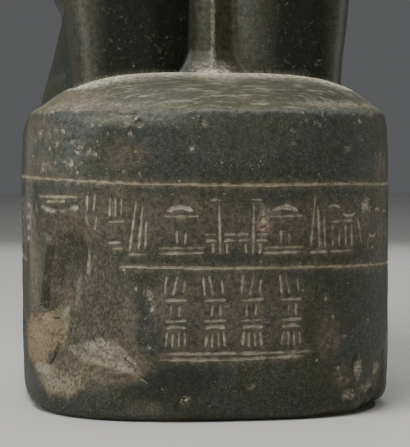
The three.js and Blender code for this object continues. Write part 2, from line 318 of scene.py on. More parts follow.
def flaked(points, size, seed=0):
    """Random tilted facets, as broken stone has, from -1 to 1."""
    scaled = points / size
    cell = np.floor(scaled).astype(np.int64)
    best = np.full(len(points), 9.0)
    value = np.zeros(len(points))
    for dx in (-1, 0, 1):
        for dy in (-1, 0, 1):
            spot = cell + (dx, dy)
            tag = [np.full(len(points), seed + k) for k in range(5)]
            middle = spot + 0.5 + 0.45 * np.stack(
                [table_value(spot[:, 0], spot[:, 1], tag[k]) for k in (0, 1)], axis=1
            )
            gap = scaled - middle
            apart = (gap**2).sum(axis=1)
            height, tilt_x, tilt_y = (
                table_value(spot[:, 0], spot[:, 1], tag[k]) for k in (2, 3, 4)
            )
            nearer = apart < best
            here = 0.5 * height + 0.7 * (tilt_x * gap[:, 0] + tilt_y * gap[:, 1])
            value = np.where(nearer, here, value)
            best = np.where(nearer, apart, best)
    return value


# Mesh helpers

def mesh_object(name, points, faces):
    """A new object from drawn millimetres."""
    mesh = bpy.data.meshes.new(name)
    mesh.from_pydata((np.asarray(points) * MM).tolist(), [], [tuple(f) for f in faces])
    mesh.validate()
    made = bpy.data.objects.new(name, mesh)
    bpy.context.scene.collection.objects.link(made)
    return made


def settle(made):
    """Applies an object's modifiers to its mesh."""
    depsgraph = bpy.context.evaluated_depsgraph_get()
    mesh = bpy.data.meshes.new_from_object(made.evaluated_get(depsgraph))
    made.modifiers.clear()
    old = made.data
    made.data = mesh
    bpy.data.meshes.remove(old)
    return made


def thin_out(made, triangles):
    """Takes triangles away where the surface is plain, down to a number."""
    made.data.calc_loop_triangles()
    count = len(made.data.loop_triangles)
    if count > triangles:
        modifier = made.modifiers.new("thin out", "DECIMATE")
        modifier.ratio = triangles / count
        settle(made)
    return made


def combine(made, other, operation):
    """Joins another closed mesh to an object, or cuts it away, and removes that other object."""
    modifier = made.modifiers.new(operation.lower(), "BOOLEAN")
    modifier.operation = operation
    modifier.solver = "MANIFOLD"
    modifier.object = other
    settle(made)
    mesh = other.data
    bpy.data.objects.remove(other)
    bpy.data.meshes.remove(mesh)
    return made


def vertex_array(mesh):
    """The mesh's points in drawn millimetres."""
    flat = np.empty(len(mesh.vertices) * 3)
    mesh.vertices.foreach_get("co", flat)
    return flat.reshape(-1, 3) / MM


def move_vertices(mesh, points):
    """Puts points in drawn millimetres back into the mesh."""
    mesh.vertices.foreach_set("co", (points * MM).ravel())
    mesh.update()


def normals(mesh):
    """The mesh's normals at its points."""
    flat = np.empty(len(mesh.vertices) * 3)
    mesh.vertices.foreach_get("normal", flat)
    return flat.reshape(-1, 3)


# The base's outline and its girth, measured from the middle of the front towards +X

def outline(angle, inset=0.0):
    """Points of the base's outline, drawn in by an inset."""
    forward = np.sin(angle) < 0
    power = np.where(forward, FRONT_POWER, BACK_POWER) + SQUARER * max(inset, 0)
    reach = BASE_DEPTH / 2 + np.where(forward, WIDEST_Y, -WIDEST_Y) - inset
    cos, sin = np.cos(angle), np.sin(angle)
    x = (BASE_WIDTH / 2 - inset) * np.sign(cos) * np.abs(cos) ** (2 / power)
    y = WIDEST_Y + reach * np.sign(sin) * np.abs(sin) ** (2 / power)
    return np.stack([x, y], axis=-1)


RIM_ANGLES = np.linspace(-1.5 * math.pi, 0.5 * math.pi, 8001)
RIM = outline(RIM_ANGLES)
RIM_GIRTH = np.concatenate([[0], np.cumsum(np.hypot(*np.diff(RIM, axis=0).T))])
GIRTH = RIM_GIRTH[-1]
RIM_GIRTH = RIM_GIRTH - np.interp(-math.pi / 2, RIM_ANGLES, RIM_GIRTH)


def signed_girth(girth):
    """Girth as a distance to either side of the middle of the front."""
    return (girth + GIRTH / 2) % GIRTH - GIRTH / 2


def place_on_base(points):
    """Girth and height of points near the base, and 1 where they lie on its outline."""
    y = points[:, 1] - WIDEST_Y
    forward = y < 0
    power = np.where(forward, FRONT_POWER, BACK_POWER)
    reach = BASE_DEPTH / 2 + np.where(forward, WIDEST_Y, -WIDEST_Y)
    cos = np.sign(points[:, 0]) * (np.abs(points[:, 0]) / (BASE_WIDTH / 2)) ** (power / 2)
    sin = np.sign(y) * (np.abs(y) / reach) ** (power / 2)
    angle = np.arctan2(sin, cos)
    angle = np.where(angle > math.pi / 2, angle - 2 * math.pi, angle)
    girth = np.interp(angle, RIM_ANGLES, RIM_GIRTH)
    return np.column_stack([girth, points[:, 2]]), np.hypot(sin, cos)


# Flat shapes over the girth and the height of the base, in millimetres

def near_path(flat, path):
    """The distance of points from a bent line, and how far along it the nearest place is."""
    nearest = np.full(len(flat), 999.0)
    along = np.zeros(len(flat))
    for number, (start, end) in enumerate(zip(path[:-1], path[1:])):
        start, way = np.array(start, float), np.subtract(end, start).astype(float)
        part = np.clip(((flat - start) @ way) / (way @ way), 0, 1)
        apart = np.linalg.norm(flat - start - part[:, None] * way, axis=1)
        closer = apart < nearest
        nearest = np.where(closer, apart, nearest)
        along = np.where(closer, number + part, along)
    return nearest, along / (len(path) - 1)


def inside_outline(flat, corners):
    """How far points lie inside a closed outline; outside it the distance is negative."""
    closed = [*corners, corners[0]]
    apart, _ = near_path(flat, closed)
    crossings = np.zeros(len(flat), int)
    for (x0, z0), (x1, z1) in zip(closed[:-1], closed[1:]):
        between = (z0 > flat[:, 1]) != (z1 > flat[:, 1])
        cross_x = x0 + (flat[:, 1] - z0) * (x1 - x0) / (z1 - z0 if z1 != z0 else 1)
        crossings += between & (flat[:, 0] < cross_x)
    return np.where(crossings % 2 == 1, apart, -apart)


def window_of(flat, corners, margin):
    """The points within a margin of the box around some corners."""
    low = np.min(corners, axis=0) - margin
    high = np.max(corners, axis=0) + margin
    return np.flatnonzero(((flat > low) & (flat < high)).all(axis=1))


def turned(flat, degrees):
    """Points turned, so that noise can be drawn out along a slant."""
    angle = math.radians(degrees)
    cos, sin = math.cos(angle), math.sin(angle)
    return np.column_stack([flat[:, 0] * cos + flat[:, 1] * sin, flat[:, 1] * cos - flat[:, 0] * sin])


# What has broken away at the lower left of the front, as outlines over the girth and the height

LOSS = (
    (-82, 108), (-72, 102), (-64, 92), (-57, 78), (-52, 66), (-48, 52), (-46, 38), (-42, 21), (-50, 19.5),
    (-59, 18.5), (-68, 19.5), (-76, 22), (-84, 25), (-96, 25), (-108, 22), (-126, 22), (-140, 34),
    (-143, 60), (-139, 98), (-124, 108), (-106, 104), (-96, 110),
)
LOSS_DEPTH = 5.4
LOSS_SLOPE = 20
TROUGH = (
    (-90, 98), (-81, 95), (-76, 88), (-77, 80), (-83, 70), (-87, 61), (-95, 53), (-105, 50), (-114, 50.5),
    (-117, 57), (-114, 68), (-106, 80), (-98, 91),
)
TROUGH_DEPTH = 4.6
STRIP = ((-150, 110), (-116, 110), (-106, 88), (-112, 72), (-117, 62), (-117, 50), (-150, 50))
STRIP_SHARE = 0.3
TAN_BOSS = (
    (-150, 52), (-124, 53), (-113, 52), (-105, 50), (-99, 46), (-98, 36), (-102, 29), (-109, 22), (-150, 20),
)
TAN_SHARE = 0.45
LOBE = (
    (-91, 38), (-82, 41.5), (-70, 43.5), (-62, 42.5), (-56, 39.5), (-51, 34), (-45, 23.5), (-56, 26), (-67, 28),
    (-76, 30.5), (-86, 34),
)
LOBE_DEPTH = 1.1
CRACKS = (
    ((-119, 56), (-114, 52), (-109, 50), (-103, 50)),
    ((-98, 37), (-100, 32), (-104, 27)),
    ((-55, 32), (-52, 29), (-48, 25.5), (-43, 21)),
    ((-113, 74), (-116, 66), (-118, 58)),
)
CHIPS = (
    # middle, half sizes, depth
    ((97, 16), (12, 16), 2.4),
    ((71, 25), (2.6, 9), 1.8),
    ((66, 14), (5, 5), 1.2),
    ((84, 6), (14, 8), 2.4),
    ((60, 1), (16, 5), 2.5),
    ((-30, 0), (30, 4), 1.5),
    ((-44, 8), (12, 6), 0.8),
    ((-54, 159), (11, 5), 1.5),
    ((-66, 157), (16, 5), 0.9),
    ((-46, 152), (3.5, 3), 1.6),
    ((-30, 160), (14, 3), 1.0),
    ((14, 163), (10, 2.5), 0.8),
    ((88, 160), (9, 4), 1.4),
    ((-120, 161), (16, 4), 1.4),
    ((180, 3), (20, 8), 4.0),
    ((300, 2), (26, 7), 4.0),
    ((-260, 3), (22, 9), 5.0),
    ((150, 160), (14, 4), 2.0),
    ((-210, 160), (20, 5), 2.4),
    ((260, 160), (16, 4), 2.0),
    ((-330, 158), (18, 5), 2.2),
    ((-172, 40), (14, 9), 1.2),
    ((228, 62), (11, 14), 1.0),
)
PITS = (
    ((-3.3, 116.7), 1.2, 0.9), ((15.7, 106), 1.8, 0.9), ((16.6, 102.5), 2.2, 1.1), ((16.2, 99), 1.2, 0.7),
    ((-24, 12.5), 2.0, 0.9), ((-41, 64), 2.2, 0.4), ((-40, 58), 1.6, 0.5), ((-49, 154.5), 1.6, 1.0),
    ((52, 62), 1.2, 0.6), ((66, 139), 1.4, 0.7), ((-84, 143), 1.6, 0.8), ((-98, 132), 1.4, 0.7),
    ((-70, 136), 1.1, 0.6), ((78.7, 110), 2.4, 0.7), ((84, 108), 1.3, 0.5), ((33, 142), 1.1, 0.5),
    ((-20, 139), 1.0, 0.5), ((96, 136), 1.5, 0.6), ((-55, 127), 1.2, 0.5), ((58, 38), 1.3, 0.5),
)

# Small chips and pits thrown over the base: middle, spread, how many, largest radius
SPOT_CLUSTERS = (
    ((-104, 146), (20, 9), 26, 2.6),
    ((-84, 128), (26, 4), 14, 2.2),
    ((-52, 150), (18, 6), 12, 1.6),
    ((62, 156), (12, 3), 16, 1.5),
    ((60, 138), (50, 12), 9, 1.2),
    ((0, 100), (70, 26), 30, 0.9),
    ((88, 100), (26, 32), 22, 1.3),
    ((-48, 62), (7, 26), 12, 1.3),
    ((30, 46), (50, 26), 20, 1.0),
    ((64, 30), (10, 14), 16, 1.4),
    ((-190, 100), (50, 44), 70, 1.6),
    ((200, 90), (60, 44), 70, 1.6),
    ((330, 90), (50, 44), 60, 1.6),
    ((-330, 90), (40, 44), 60, 1.6),
)


def scattered_spots():
    """The place, radius and depth of each small chip and pit."""
    draws = np.random.default_rng(SEED + 1)
    spots = []
    for middle, spread, count, largest in SPOT_CLUSTERS:
        for _ in range(count):
            place = draws.normal(middle, spread)
            radius = largest * (0.35 + 0.65 * draws.uniform() ** 2)
            spots.append((place, radius, 0.45 * radius * draws.uniform(0.4, 1)))
    return spots


# How far the front's upper arris is worn down, and how high the bottom edge is rounded, over the girth
ARRIS_WEAR = ((-150, 1.0), (-102, 0.8), (-67, 3.4), (-36, 2.4), (-9, 1.2), (36, 0.6), (96, 0.9), (150, 1.0))
FOOT_ROUND = (
    (-200, 5), (-140, 8), (-115, 5), (-100, 2), (-64, 2.5), (-35, 1.2), (0, 0.6), (30, 1.6), (57, 2.2),
    (74, 6), (84, 11), (94, 17), (103, 21), (112, 19), (126, 11), (150, 4), (200, 5),
)


def over_girth(girth, table):
    """A value read from a table over the girth."""
    table = np.array(table, float)
    return np.interp(girth, table[:, 0], table[:, 1])


def ragged_places(flat):
    """Places moved about, so that an outline read at them has a ragged edge."""
    warp = np.stack([rough(flat, 13, 5, seed=31), rough(flat, 13, 5, seed=33)], axis=1)
    return flat + 3.2 * warp


def scar_relief(flat):
    """The depth of the dish, the trough and the tan boss, and how broken the stone is there."""
    bent = ragged_places(flat)
    inside = inside_outline(bent, LOSS)
    depth = LOSS_DEPTH * np.clip(inside / LOSS_SLOPE, 0, 1) ** 0.8
    strip = step_up(inside_outline(bent, STRIP), -0.5, 1.5)
    boss = step_up(inside_outline(bent, TAN_BOSS), -2.4, 2.2)
    depth *= 1 - (1 - STRIP_SHARE) * strip
    depth *= 1 - (1 - TAN_SHARE) * boss
    trough = step_up(inside_outline(bent, TROUGH), -0.5, 8) * (1 - boss)
    depth += TROUGH_DEPTH * trough**0.8 * (1 + 0.45 * rough(turned(flat, 66) * (0.5, 1), 8, 3, seed=43))
    depth += LOBE_DEPTH * step_up(inside_outline(bent, LOBE), -0.4, 1.6)
    return depth, step_up(inside, 0, 3) * (1 - 0.35 * strip)


def broken_texture(flat):
    """Facets, slanted splinters and grit of broken stone, in millimetres."""
    facets = 0.45 * flaked(turned(flat, 25) * (1, 0.6), 8, seed=3)
    facets += 0.35 * flaked(turned(flat, 25) * (1.2, 0.6), 3.2, seed=11)
    splinters = rough(turned(flat, 66) * (0.4, 1), 1.7, 3, seed=41)
    grit = rough(flat, 1.5, 2, seed=5)
    return 0.5 * facets + 0.26 * splinters + 0.34 * grit


def spot_mask(flat, middle, radius):
    """From 0 beside a ragged spot to 1 in its middle."""
    reach = np.linalg.norm(flat - middle, axis=1) / radius + 0.7 * rough(flat, 2.4, 3, seed=29)
    return 1 - step_up(reach, 0.25, 1.0)


def losses(flat):
    """The depth of what has broken away, and how broken the stone is there, from 0 to 1."""
    depth = np.zeros(len(flat))
    broken = np.zeros(len(flat))
    near = window_of(flat, LOSS, 6)
    depth[near], broken[near] = scar_relief(flat[near])
    depth[near] += broken[near] * broken_texture(flat[near])
    for middle, halves, deepest in CHIPS:
        near = window_of(flat, [np.subtract(middle, halves), np.add(middle, halves)], 6)
        here = flat[near]
        reach = np.linalg.norm((here - middle) / halves, axis=1) + 0.35 * rough(here, 6, 3, seed=23)
        mask = 1 - step_up(reach, 0.35, 1.0)
        depth[near] += mask * deepest * (1 + 0.35 * flaked(here, 5, seed=19))
        broken[near] = np.maximum(broken[near], 0.8 * mask)
    for middle, radius, deepest in (*PITS, *scattered_spots()):
        near = window_of(flat, [middle], radius + 2)
        depth[near] += deepest * spot_mask(flat[near], middle, radius)
    for path in CRACKS:
        near = window_of(flat, path, 4)
        here = flat[near] + 0.8 * rough(flat[near], 4, 2, seed=61)[:, None]
        depth[near] += 1.3 * (1 - step_up(near_path(here, path)[0], 0.2, 1.1))
    return depth, broken


# The inscription's place: ruled lines and rows of plain shallow strokes. A stroke is a path in girth
# and height, its half width and its depth.

UPPER_LINE = (
    (-400, 122), (-200, 124.2), (-136, 124.2), (-93, 123.5), (-45, 121.5), (0, 120.7), (60, 121),
    (105, 120.4), (400, 122),
)
LOWER_LINE = (
    (-400, 79), (-144, 79.6), (-57, 79.6), (-15, 78.8), (41, 78.7), (119, 77.8), (160, 78.4), (400, 79),
)
SCAR_EDGE = -57
LINE_HALF_WIDTH = 0.84
LINE_DEPTH = 0.85
FLOOR_LINES = (((-35.4, 32.6), (0, 32.2), (38.6, 33.4)), ((-35, 35.6), (10, 35.3), (43.5, 35.6)))
STROKE_HALF_WIDTH = 0.76
STROKE_DEPTH = 0.7


def stroke(*path, half_width=STROKE_HALF_WIDTH, depth=STROKE_DEPTH):
    """One stroke."""
    return path, half_width, depth


def level(girth, height, length, **how):
    """A level stroke, which starts at a girth."""
    return stroke((girth, height), (girth + length, height + 0.3), **how)


def upright(girth, height, length, lean=0.0, **how):
    """An upright stroke, which starts at its foot and may lean."""
    return stroke((girth, height), (girth + lean, height + length), **how)


def bowed(girth, height, length, rise, **how):
    """A shallow arc, which rises or hangs in its middle."""
    steps = np.linspace(0, 1, 7)
    return stroke(*[(girth + length * t, height + 4 * rise * t * (1 - t)) for t in steps], **how)


def wedge(girth, height, length, rise, thick=1.9):
    """A broad stroke, wide in the middle."""
    return bowed(girth, height, length, rise, half_width=thick, depth=0.7)


def band_strokes():
    """The front's strokes between the two ruled lines. No two of them touch."""
    strokes = [
        upright(-133, 98, 13), upright(-129.5, 101, 9, 0.6), upright(-126, 98, 6, 0.8),
        level(-116, 114.3, 38), level(-106, 111.8, 16), upright(-119.5, 105.5, 5),
        wedge(-112, 109, 31, -2.4, 2.0), upright(-108, 91, 6, 0.6), level(-103, 97.6, 9),
        upright(-75, 107.5, 8), upright(-71, 107.5, 8, 0.8), upright(-74.6, 98.5, 6.5, -1), upright(-70.4, 98, 6.5, 1),
        upright(-62, 105, 9), upright(-59, 105, 9), upright(-56, 105, 9, 0.2), level(-63, 102.2, 8.4),
        level(-63, 91.4, 7, half_width=0.9), level(-61, 88.6, 6),
        upright(-51.5, 88, 24, 3.4), upright(-47, 89, 21, 2.2), upright(-43.4, 89, 14, 0.6), level(-52.5, 85.6, 10),
    ]
    for start in (-37, 16.7):
        strokes += [
            level(start + 3, 104.8, 17.5), wedge(start + 5.5, 108, 12, 1.4, 1.7),
            upright(start + 9.6, 91.4, 6), upright(start + 13.6, 91.4, 5, 0.4),
            level(start + 0.4, 86.3, 23), level(start + 1, 88.9, 21.5, half_width=0.55),
        ]
    for start, side in ((-5.4, -1), (11.5, 1)):
        strokes += [
            upright(start, 86, 25.5, 0.5 * side), bowed(start + 2 * side - 2.5, 113.2, 5, 0.4),
            upright(start - 3.4, 86.4, 4.4, -0.4), upright(start + 3.4, 86.4, 4.4, 0.4),
            bowed(start - 7.6, 95.6, 5.4, 0.5), bowed(start + 2.2, 95.6, 5.4, 0.5),
            bowed(start - 7, 92.6, 4.8, 0.4), bowed(start + 2.2, 92.6, 4.8, 0.4),
        ]
    strokes += [
        upright(42.6, 89, 26, 2.6), upright(47.4, 89, 21, -0.6), upright(51, 89, 15, -0.8), level(42.4, 86.2, 9.6),
        bowed(52.4, 108.8, 8, 1.2), bowed(62.5, 105.6, 8, -1), level(54, 101.8, 15),
        upright(55.4, 89, 10.4), upright(59.6, 89, 10.8), upright(64, 89, 10.4), upright(68, 89, 10.8, 0.4),
        level(54.6, 86.4, 14), upright(76, 90, 13.4, -3.4), bowed(82, 95.4, 8.6, -2.2), upright(81, 86.4, 6.4, 0.8),
        bowed(88.4, 106.5, 7.6, 1.1), upright(93.4, 88, 12, -0.8), upright(98, 89, 14), level(100.4, 106, 7),
        bowed(102.6, 95, 8.6, -1.6), upright(114, 89, 15, 0.6),
    ]
    return strokes


def column_strokes():
    """The strokes of the four short columns under the band."""
    strokes = []
    for middle, slant in ((-28.1, 1), (-7.9, -1), (11, 1), (32, -1)):
        strokes += [
            upright(middle - 5.4, 65.6, 9, 0.8 * slant), upright(middle - 1.2, 65.6, 9, 2 * slant),
            upright(middle + 4, 66.4, 6, 0.8 * slant), level(middle - 5.4, 62.4, 10.8),
            upright(middle - 2.6 * slant, 54.6, 5.6), upright(middle + 1.8 * slant, 54.6, 5, 0.5),
            level(middle - 5.6, 52, 11), wedge(middle - 4.6, 48.6, 9.4, 0.6, 1.1),
            upright(middle - 5, 39.4, 6.4, 0.7), upright(middle - 1.7, 39, 6.6, 0.2),
            upright(middle + 1.7, 39, 6.6, -0.2), upright(middle + 5, 39.4, 6.4, -0.7),
        ]
    return strokes


def side_strokes():
    """Fewer and plainer strokes in the band on both sides and behind."""
    draws = np.random.default_rng(SEED)
    strokes = []
    for side in (-1, 1):
        place = 132.0
        while place < GIRTH / 2 - 14:
            start = side * place - (12 if side < 0 else 0)
            kind = draws.integers(4)
            rise = draws.uniform(0, 2)
            if kind == 0:
                strokes += [upright(start + 3.6 * k, 87 + rise, 24, 0.4) for k in range(4)]
            elif kind == 1:
                strokes += [level(start, 111 - 4.6 * k - rise, 11.5) for k in range(6)]
            elif kind == 2:
                strokes += [upright(start + 3.4 * k, 101, 11, 0.6) for k in range(4)]
                strokes += [upright(start + 3.4 * k, 86, 10, -0.6) for k in range(4)]
            else:
                strokes += [wedge(start, 110 - 6 * k - rise, 11.5, 1.2, 1.4) for k in range(4)]
            place += draws.uniform(16, 20)
    return strokes


def all_strokes():
    """Every stroke on the base."""
    floor_lines = [stroke(*path, half_width=0.8, depth=0.8) for path in FLOOR_LINES]
    return band_strokes() + column_strokes() + side_strokes() + floor_lines


def cuts(flat, spread=0.0):
    """The depth of the ruled lines and the strokes, or of bands that spread beside them."""
    wander = 0.34 * rough(flat, 3.2, 2, seed=51)
    uneven = 1 + 0.4 * rough(flat, 3.4, 2, seed=53)
    depth = np.zeros(len(flat))
    for line, start in ((UPPER_LINE, -GIRTH), (LOWER_LINE, SCAR_EDGE)):
        gap = np.abs(flat[:, 1] - over_girth(flat[:, 0], line) + wander)
        there = (flat[:, 0] > start) | (flat[:, 0] < -144)
        reach = (LINE_HALF_WIDTH + spread) * uneven
        depth = np.maximum(depth, there * LINE_DEPTH * (1 - step_up(gap, 0.2 * reach, reach)))
    for path, half_width, deepest in all_strokes():
        near = window_of(flat, path, half_width + spread + 1)
        gap, along = near_path(flat[near], path)
        ends = np.clip(6 * np.minimum(along, 1 - along) + 0.55, 0, 1)
        gap = (gap + wander[near]) / ((half_width + spread) * ends * uneven[near])
        depth[near] = np.maximum(depth[near], deepest * (1 - step_up(gap, 0.25, 1.0)))
    return depth * uneven


# The whole surface of the base

PROFILE = (
    (0, 7), (2.5, 3), (9, 1), (40, 0), (80, 0), (115, 0), (145, 0.8), (EDGE_HEIGHT - 4, 1.7),
    (EDGE_HEIGHT, 3.8), (EDGE_HEIGHT + 3, 8.2), (EDGE_HEIGHT + 8.5, 17), (EDGE_HEIGHT + 13, 26),
    (CREST_HEIGHT - 2.5, 40), (CREST_HEIGHT, 58), (CREST_HEIGHT + 1, 84),
)
COARSE = 1
FRONT_SPAN = 142
SIDE_SPAN = 300
FRONT_STEP = 0.42 * COARSE
SIDE_STEP = 0.7 * COARSE
BACK_STEP = 1.2 * COARSE
BAND_STEP = 0.42 * COARSE
PLAIN_STEP = 0.8 * COARSE
BAND_LOW, BAND_HIGH = 28, 127


def gentle_relief(points):
    """The slight waves of a surface that was dressed and rubbed by hand."""
    waves = 0.4 * noise(points, 46, 1) + 0.22 * noise(points, 15, 2)
    return waves + 0.07 * noise(points, 5, 3) + 0.05 * noise(points, 2.1, 4)


def steps_between(*stops):
    """Places from the first stop to the last. After each stop but the last comes the step from there."""
    places = []
    for start, step, end in zip(stops[:-1:2], stops[1::2], stops[2::2]):
        count = max(int(round((end - start) / step)), 1)
        places.append(np.linspace(start, end, count, endpoint=False))
    return np.concatenate(places)


def base_rings():
    """The plain base as rings: points by row and column, with the girth of each column."""
    half = GIRTH / 2
    girth = steps_between(
        -half, BACK_STEP, -SIDE_SPAN, SIDE_STEP, -FRONT_SPAN, FRONT_STEP, FRONT_SPAN, SIDE_STEP,
        SIDE_SPAN, BACK_STEP, half,
    )
    angle = np.interp(girth, RIM_GIRTH, RIM_ANGLES)
    curve = smooth_rows(PROFILE, 1200)
    length = np.concatenate([[0], np.cumsum(np.hypot(*np.diff(curve, axis=0).T))])
    low, high, edge = np.interp((BAND_LOW, BAND_HIGH, EDGE_HEIGHT + 9), curve[:, 0], length)
    places = steps_between(
        0, PLAIN_STEP, low, BAND_STEP, high, PLAIN_STEP, edge, 2 * PLAIN_STEP, length[-1],
    )
    heights, insets = (np.interp(places, length, curve[:, k]) for k in (0, 1))
    rings = [
        np.column_stack([outline(angle, inset), np.full(len(angle), height)])
        for height, inset in zip(heights, np.maximum(insets, 0))
    ]
    return np.stack(rings), girth


def worn_base():
    """The base's rings with all that was cut into them and has worn or broken away."""
    rings, girth = base_rings()
    along = np.roll(rings, -1, axis=1) - np.roll(rings, 1, axis=1)
    way_out = np.cross(along, np.gradient(rings, axis=0))
    way_out[..., 2] *= step_up(rings[..., 2], 3, 16)
    way_out /= np.linalg.norm(way_out, axis=2, keepdims=True)
    points = rings.reshape(-1, 3)
    height = points[:, 2]
    flat = np.column_stack([np.tile(girth, len(rings)), height])
    depth, broken = losses(flat)
    depth += cuts(flat) * (1 - broken)
    arris = step_up(height, 149, 157) * (1 - step_up(height, 162, 171))
    depth += arris * np.maximum(over_girth(flat[:, 0], ARRIS_WEAR) + 0.7 * rough(points, 20, 3, 71), 0)
    round_up = over_girth(flat[:, 0], FOOT_ROUND) * (1 + 0.4 * noise(flat * (1, 0), 9, seed=73))
    depth += drawn_in(height, np.maximum(round_up, 0.01)) * 0.7
    relief = (gentle_relief(points) - depth) * step_up(height, -0.1, 1.2)
    moved = points + way_out.reshape(-1, 3) * relief[:, None]
    moved[:, 2] = np.maximum(moved[:, 2], 0)
    return moved.reshape(rings.shape)


def closed_rings(name, rings, inner=(0.66, 0.33)):
    """An object from rings of points, closed at both ends by ever smaller rings."""
    count = rings.shape[1]
    first, last = rings[0], rings[-1]
    closing = []
    for end in (first, last):
        middle = end.mean(axis=0)
        closing.append([middle + (end - middle) * share for share in (*inner, 0.02)])
    stack = np.concatenate([closing[0][::-1], rings, closing[1]])
    rows = len(stack)
    index = np.arange(rows * count).reshape(rows, count)
    right = np.roll(index, -1, axis=1)
    quads = np.stack([index[:-1], right[:-1], right[1:], index[1:]], axis=-1).reshape(-1, 4)
    faces = quads.tolist() + [index[0, ::-1].tolist(), index[-1].tolist()]
    return mesh_object(name, stack.reshape(-1, 3), faces)


def make_base():
    """The worn base as an object of its own."""
    return closed_rings("base", worn_base())


# The figure, in squares from the front of the knees and the crest of the base

def leg_forms():
    """A folded leg: knee, calf, thigh and foot."""
    knee = body(
        [(-0.9, 1.22, 0.88, 0.96, 0.88), (0, 1.22, 0.88, 0.96, 0.88), (1, 1.26, 0.9, 1.03, 0.91),
         (2, 1.28, 0.98, 1.08, 0.98), (2.7, 1.26, 1.2, 1.04, 1.1)],
        power=3.2, round_ends=(0, 0.66),
    )
    calf = body(
        [(-0.5, 1.24, 3.3, 1.3, 2.1), (-0.24, 1.24, 3.3, 1.26, 2.06), (0.3, 1.22, 3.4, 1.12, 1.96),
         (0.94, 1.2, 3.5, 0.98, 1.86), (1.35, 1.2, 3.6, 0.85, 1.7)],
        power=2.8, round_ends=(0, 0.2),
    )
    thigh = body(
        [(0.3, 1.23, 1.9, 0.97, 0.95), (1.6, 1.27, 1.88, 1.1, 1.12), (3.2, 1.24, 1.9, 1.16, 1.15),
         (5.3, 1.05, 2, 1.01, 1.1)],
        along="y", round_ends=(0.5, 0.5),
    )
    foot = body(
        [(-0.7, 1.32, 5.1, 0.58, 0.7), (0.2, 1.32, 5.16, 0.56, 0.62), (0.75, 1.28, 5.34, 0.46, 0.4),
         (1.4, 1.2, 5.36, 0.42, 0.38), (2.2, 1.14, 5.28, 0.46, 0.48)],
        power=2.8, round_ends=(0, 0.3),
    )
    return [
        ("add", calf, 0), ("add", thigh, 0.16), ("add", knee, 0.1), ("add", foot, 0.08),
        ("cut", inner_flank(), 0.12),
    ]


# How the knees' inner flanks slant back from their front, and where they start, in squares
FLANK_SLOPE = 0.68
FLANK_START = 0.8

# The crest of the stone between the knees: heights and how far it stands behind the knees' front
CREST_RISE = (-0.6, -0.1, 0.14, 0.36, 2, 2.3)
CREST_BACK = (-0.5, -0.3, -0.06, 0.08, 0.12, 0.5)


def inner_flank():
    """The stone taken off the inner side of a knee's front, down to a broad slanting flank."""
    def distance(x, y, z):
        return (FLANK_SLOPE * (x - FLANK_START) + y) / math.hypot(1, FLANK_SLOPE) + 0 * z

    return Form((0, -0.3, -1), (FLANK_START, 0.6, 2.8), distance)


def filling_forms():
    """The stone left between the legs: a soft ridge whose flanks slant back, and the web behind it."""
    def distance(x, y, z):
        crest = np.interp(z, CREST_RISE, CREST_BACK)
        flank = (FLANK_SLOPE * np.sqrt(x**2 + 0.05**2) + crest - y) / math.hypot(1, FLANK_SLOPE)
        return np.maximum(flank, np.maximum(y - 1.3, np.maximum(z - 2.3, x - 0.75)))

    return [
        ("add", Form((0, -0.6, -1), (0.75, 1.3, 2.3), distance), 0.06),
        ("add", block((-0.9, 0.9, -0.4), (0.9, 5, 2.35)), 0.05),
        ("add", block((-1.3, 1.2, -0.4), (1.3, 5, 1.9)), 0),
        ("add", block((-1.1, 4.6, -0.5), (1.1, 5.5, 2.2)), 0.05),
    ]


def torso_forms():
    """The trunk and the neck, with the chest."""
    trunk = body(
        [(1.9, 0, 4.5, 1.8, 1.25), (2.9, 0, 4.5, 1.86, 1.3), (4, 0, 4.45, 1.6, 1.15),
         (5, 0, 4.38, 1.32, 0.94), (6, 0, 4.35, 1.42, 0.96), (7.2, 0, 4.35, 1.84, 1.1),
         (8, 0, 4.42, 2.12, 1.06), (8.7, 0, 4.48, 2.16, 0.8), (9, 0, 4.54, 1.7, 0.56),
         (9.4, 0, 4.58, 0.76, 0.44)],
        round_ends=(0.3, 0),
    )
    neck = body([(8.8, 0, 4.4, 0.68, 0.68), (9.5, 0, 4.22, 0.54, 0.56), (10.2, 0, 4.15, 0.56, 0.6)])
    return [
        ("add", trunk, 0.15),
        ("add", neck, 0.2),
        ("add", lump((0.78, 3.55, 7.72), (0.82, 0.36, 0.52)), 0.25),
        ("add", limb([(0.2, 3.78, 8.62, 0.05), (0.8, 3.84, 8.72, 0.07), (1.6, 4.12, 8.76, 0.05)]), 0.16),
    ]


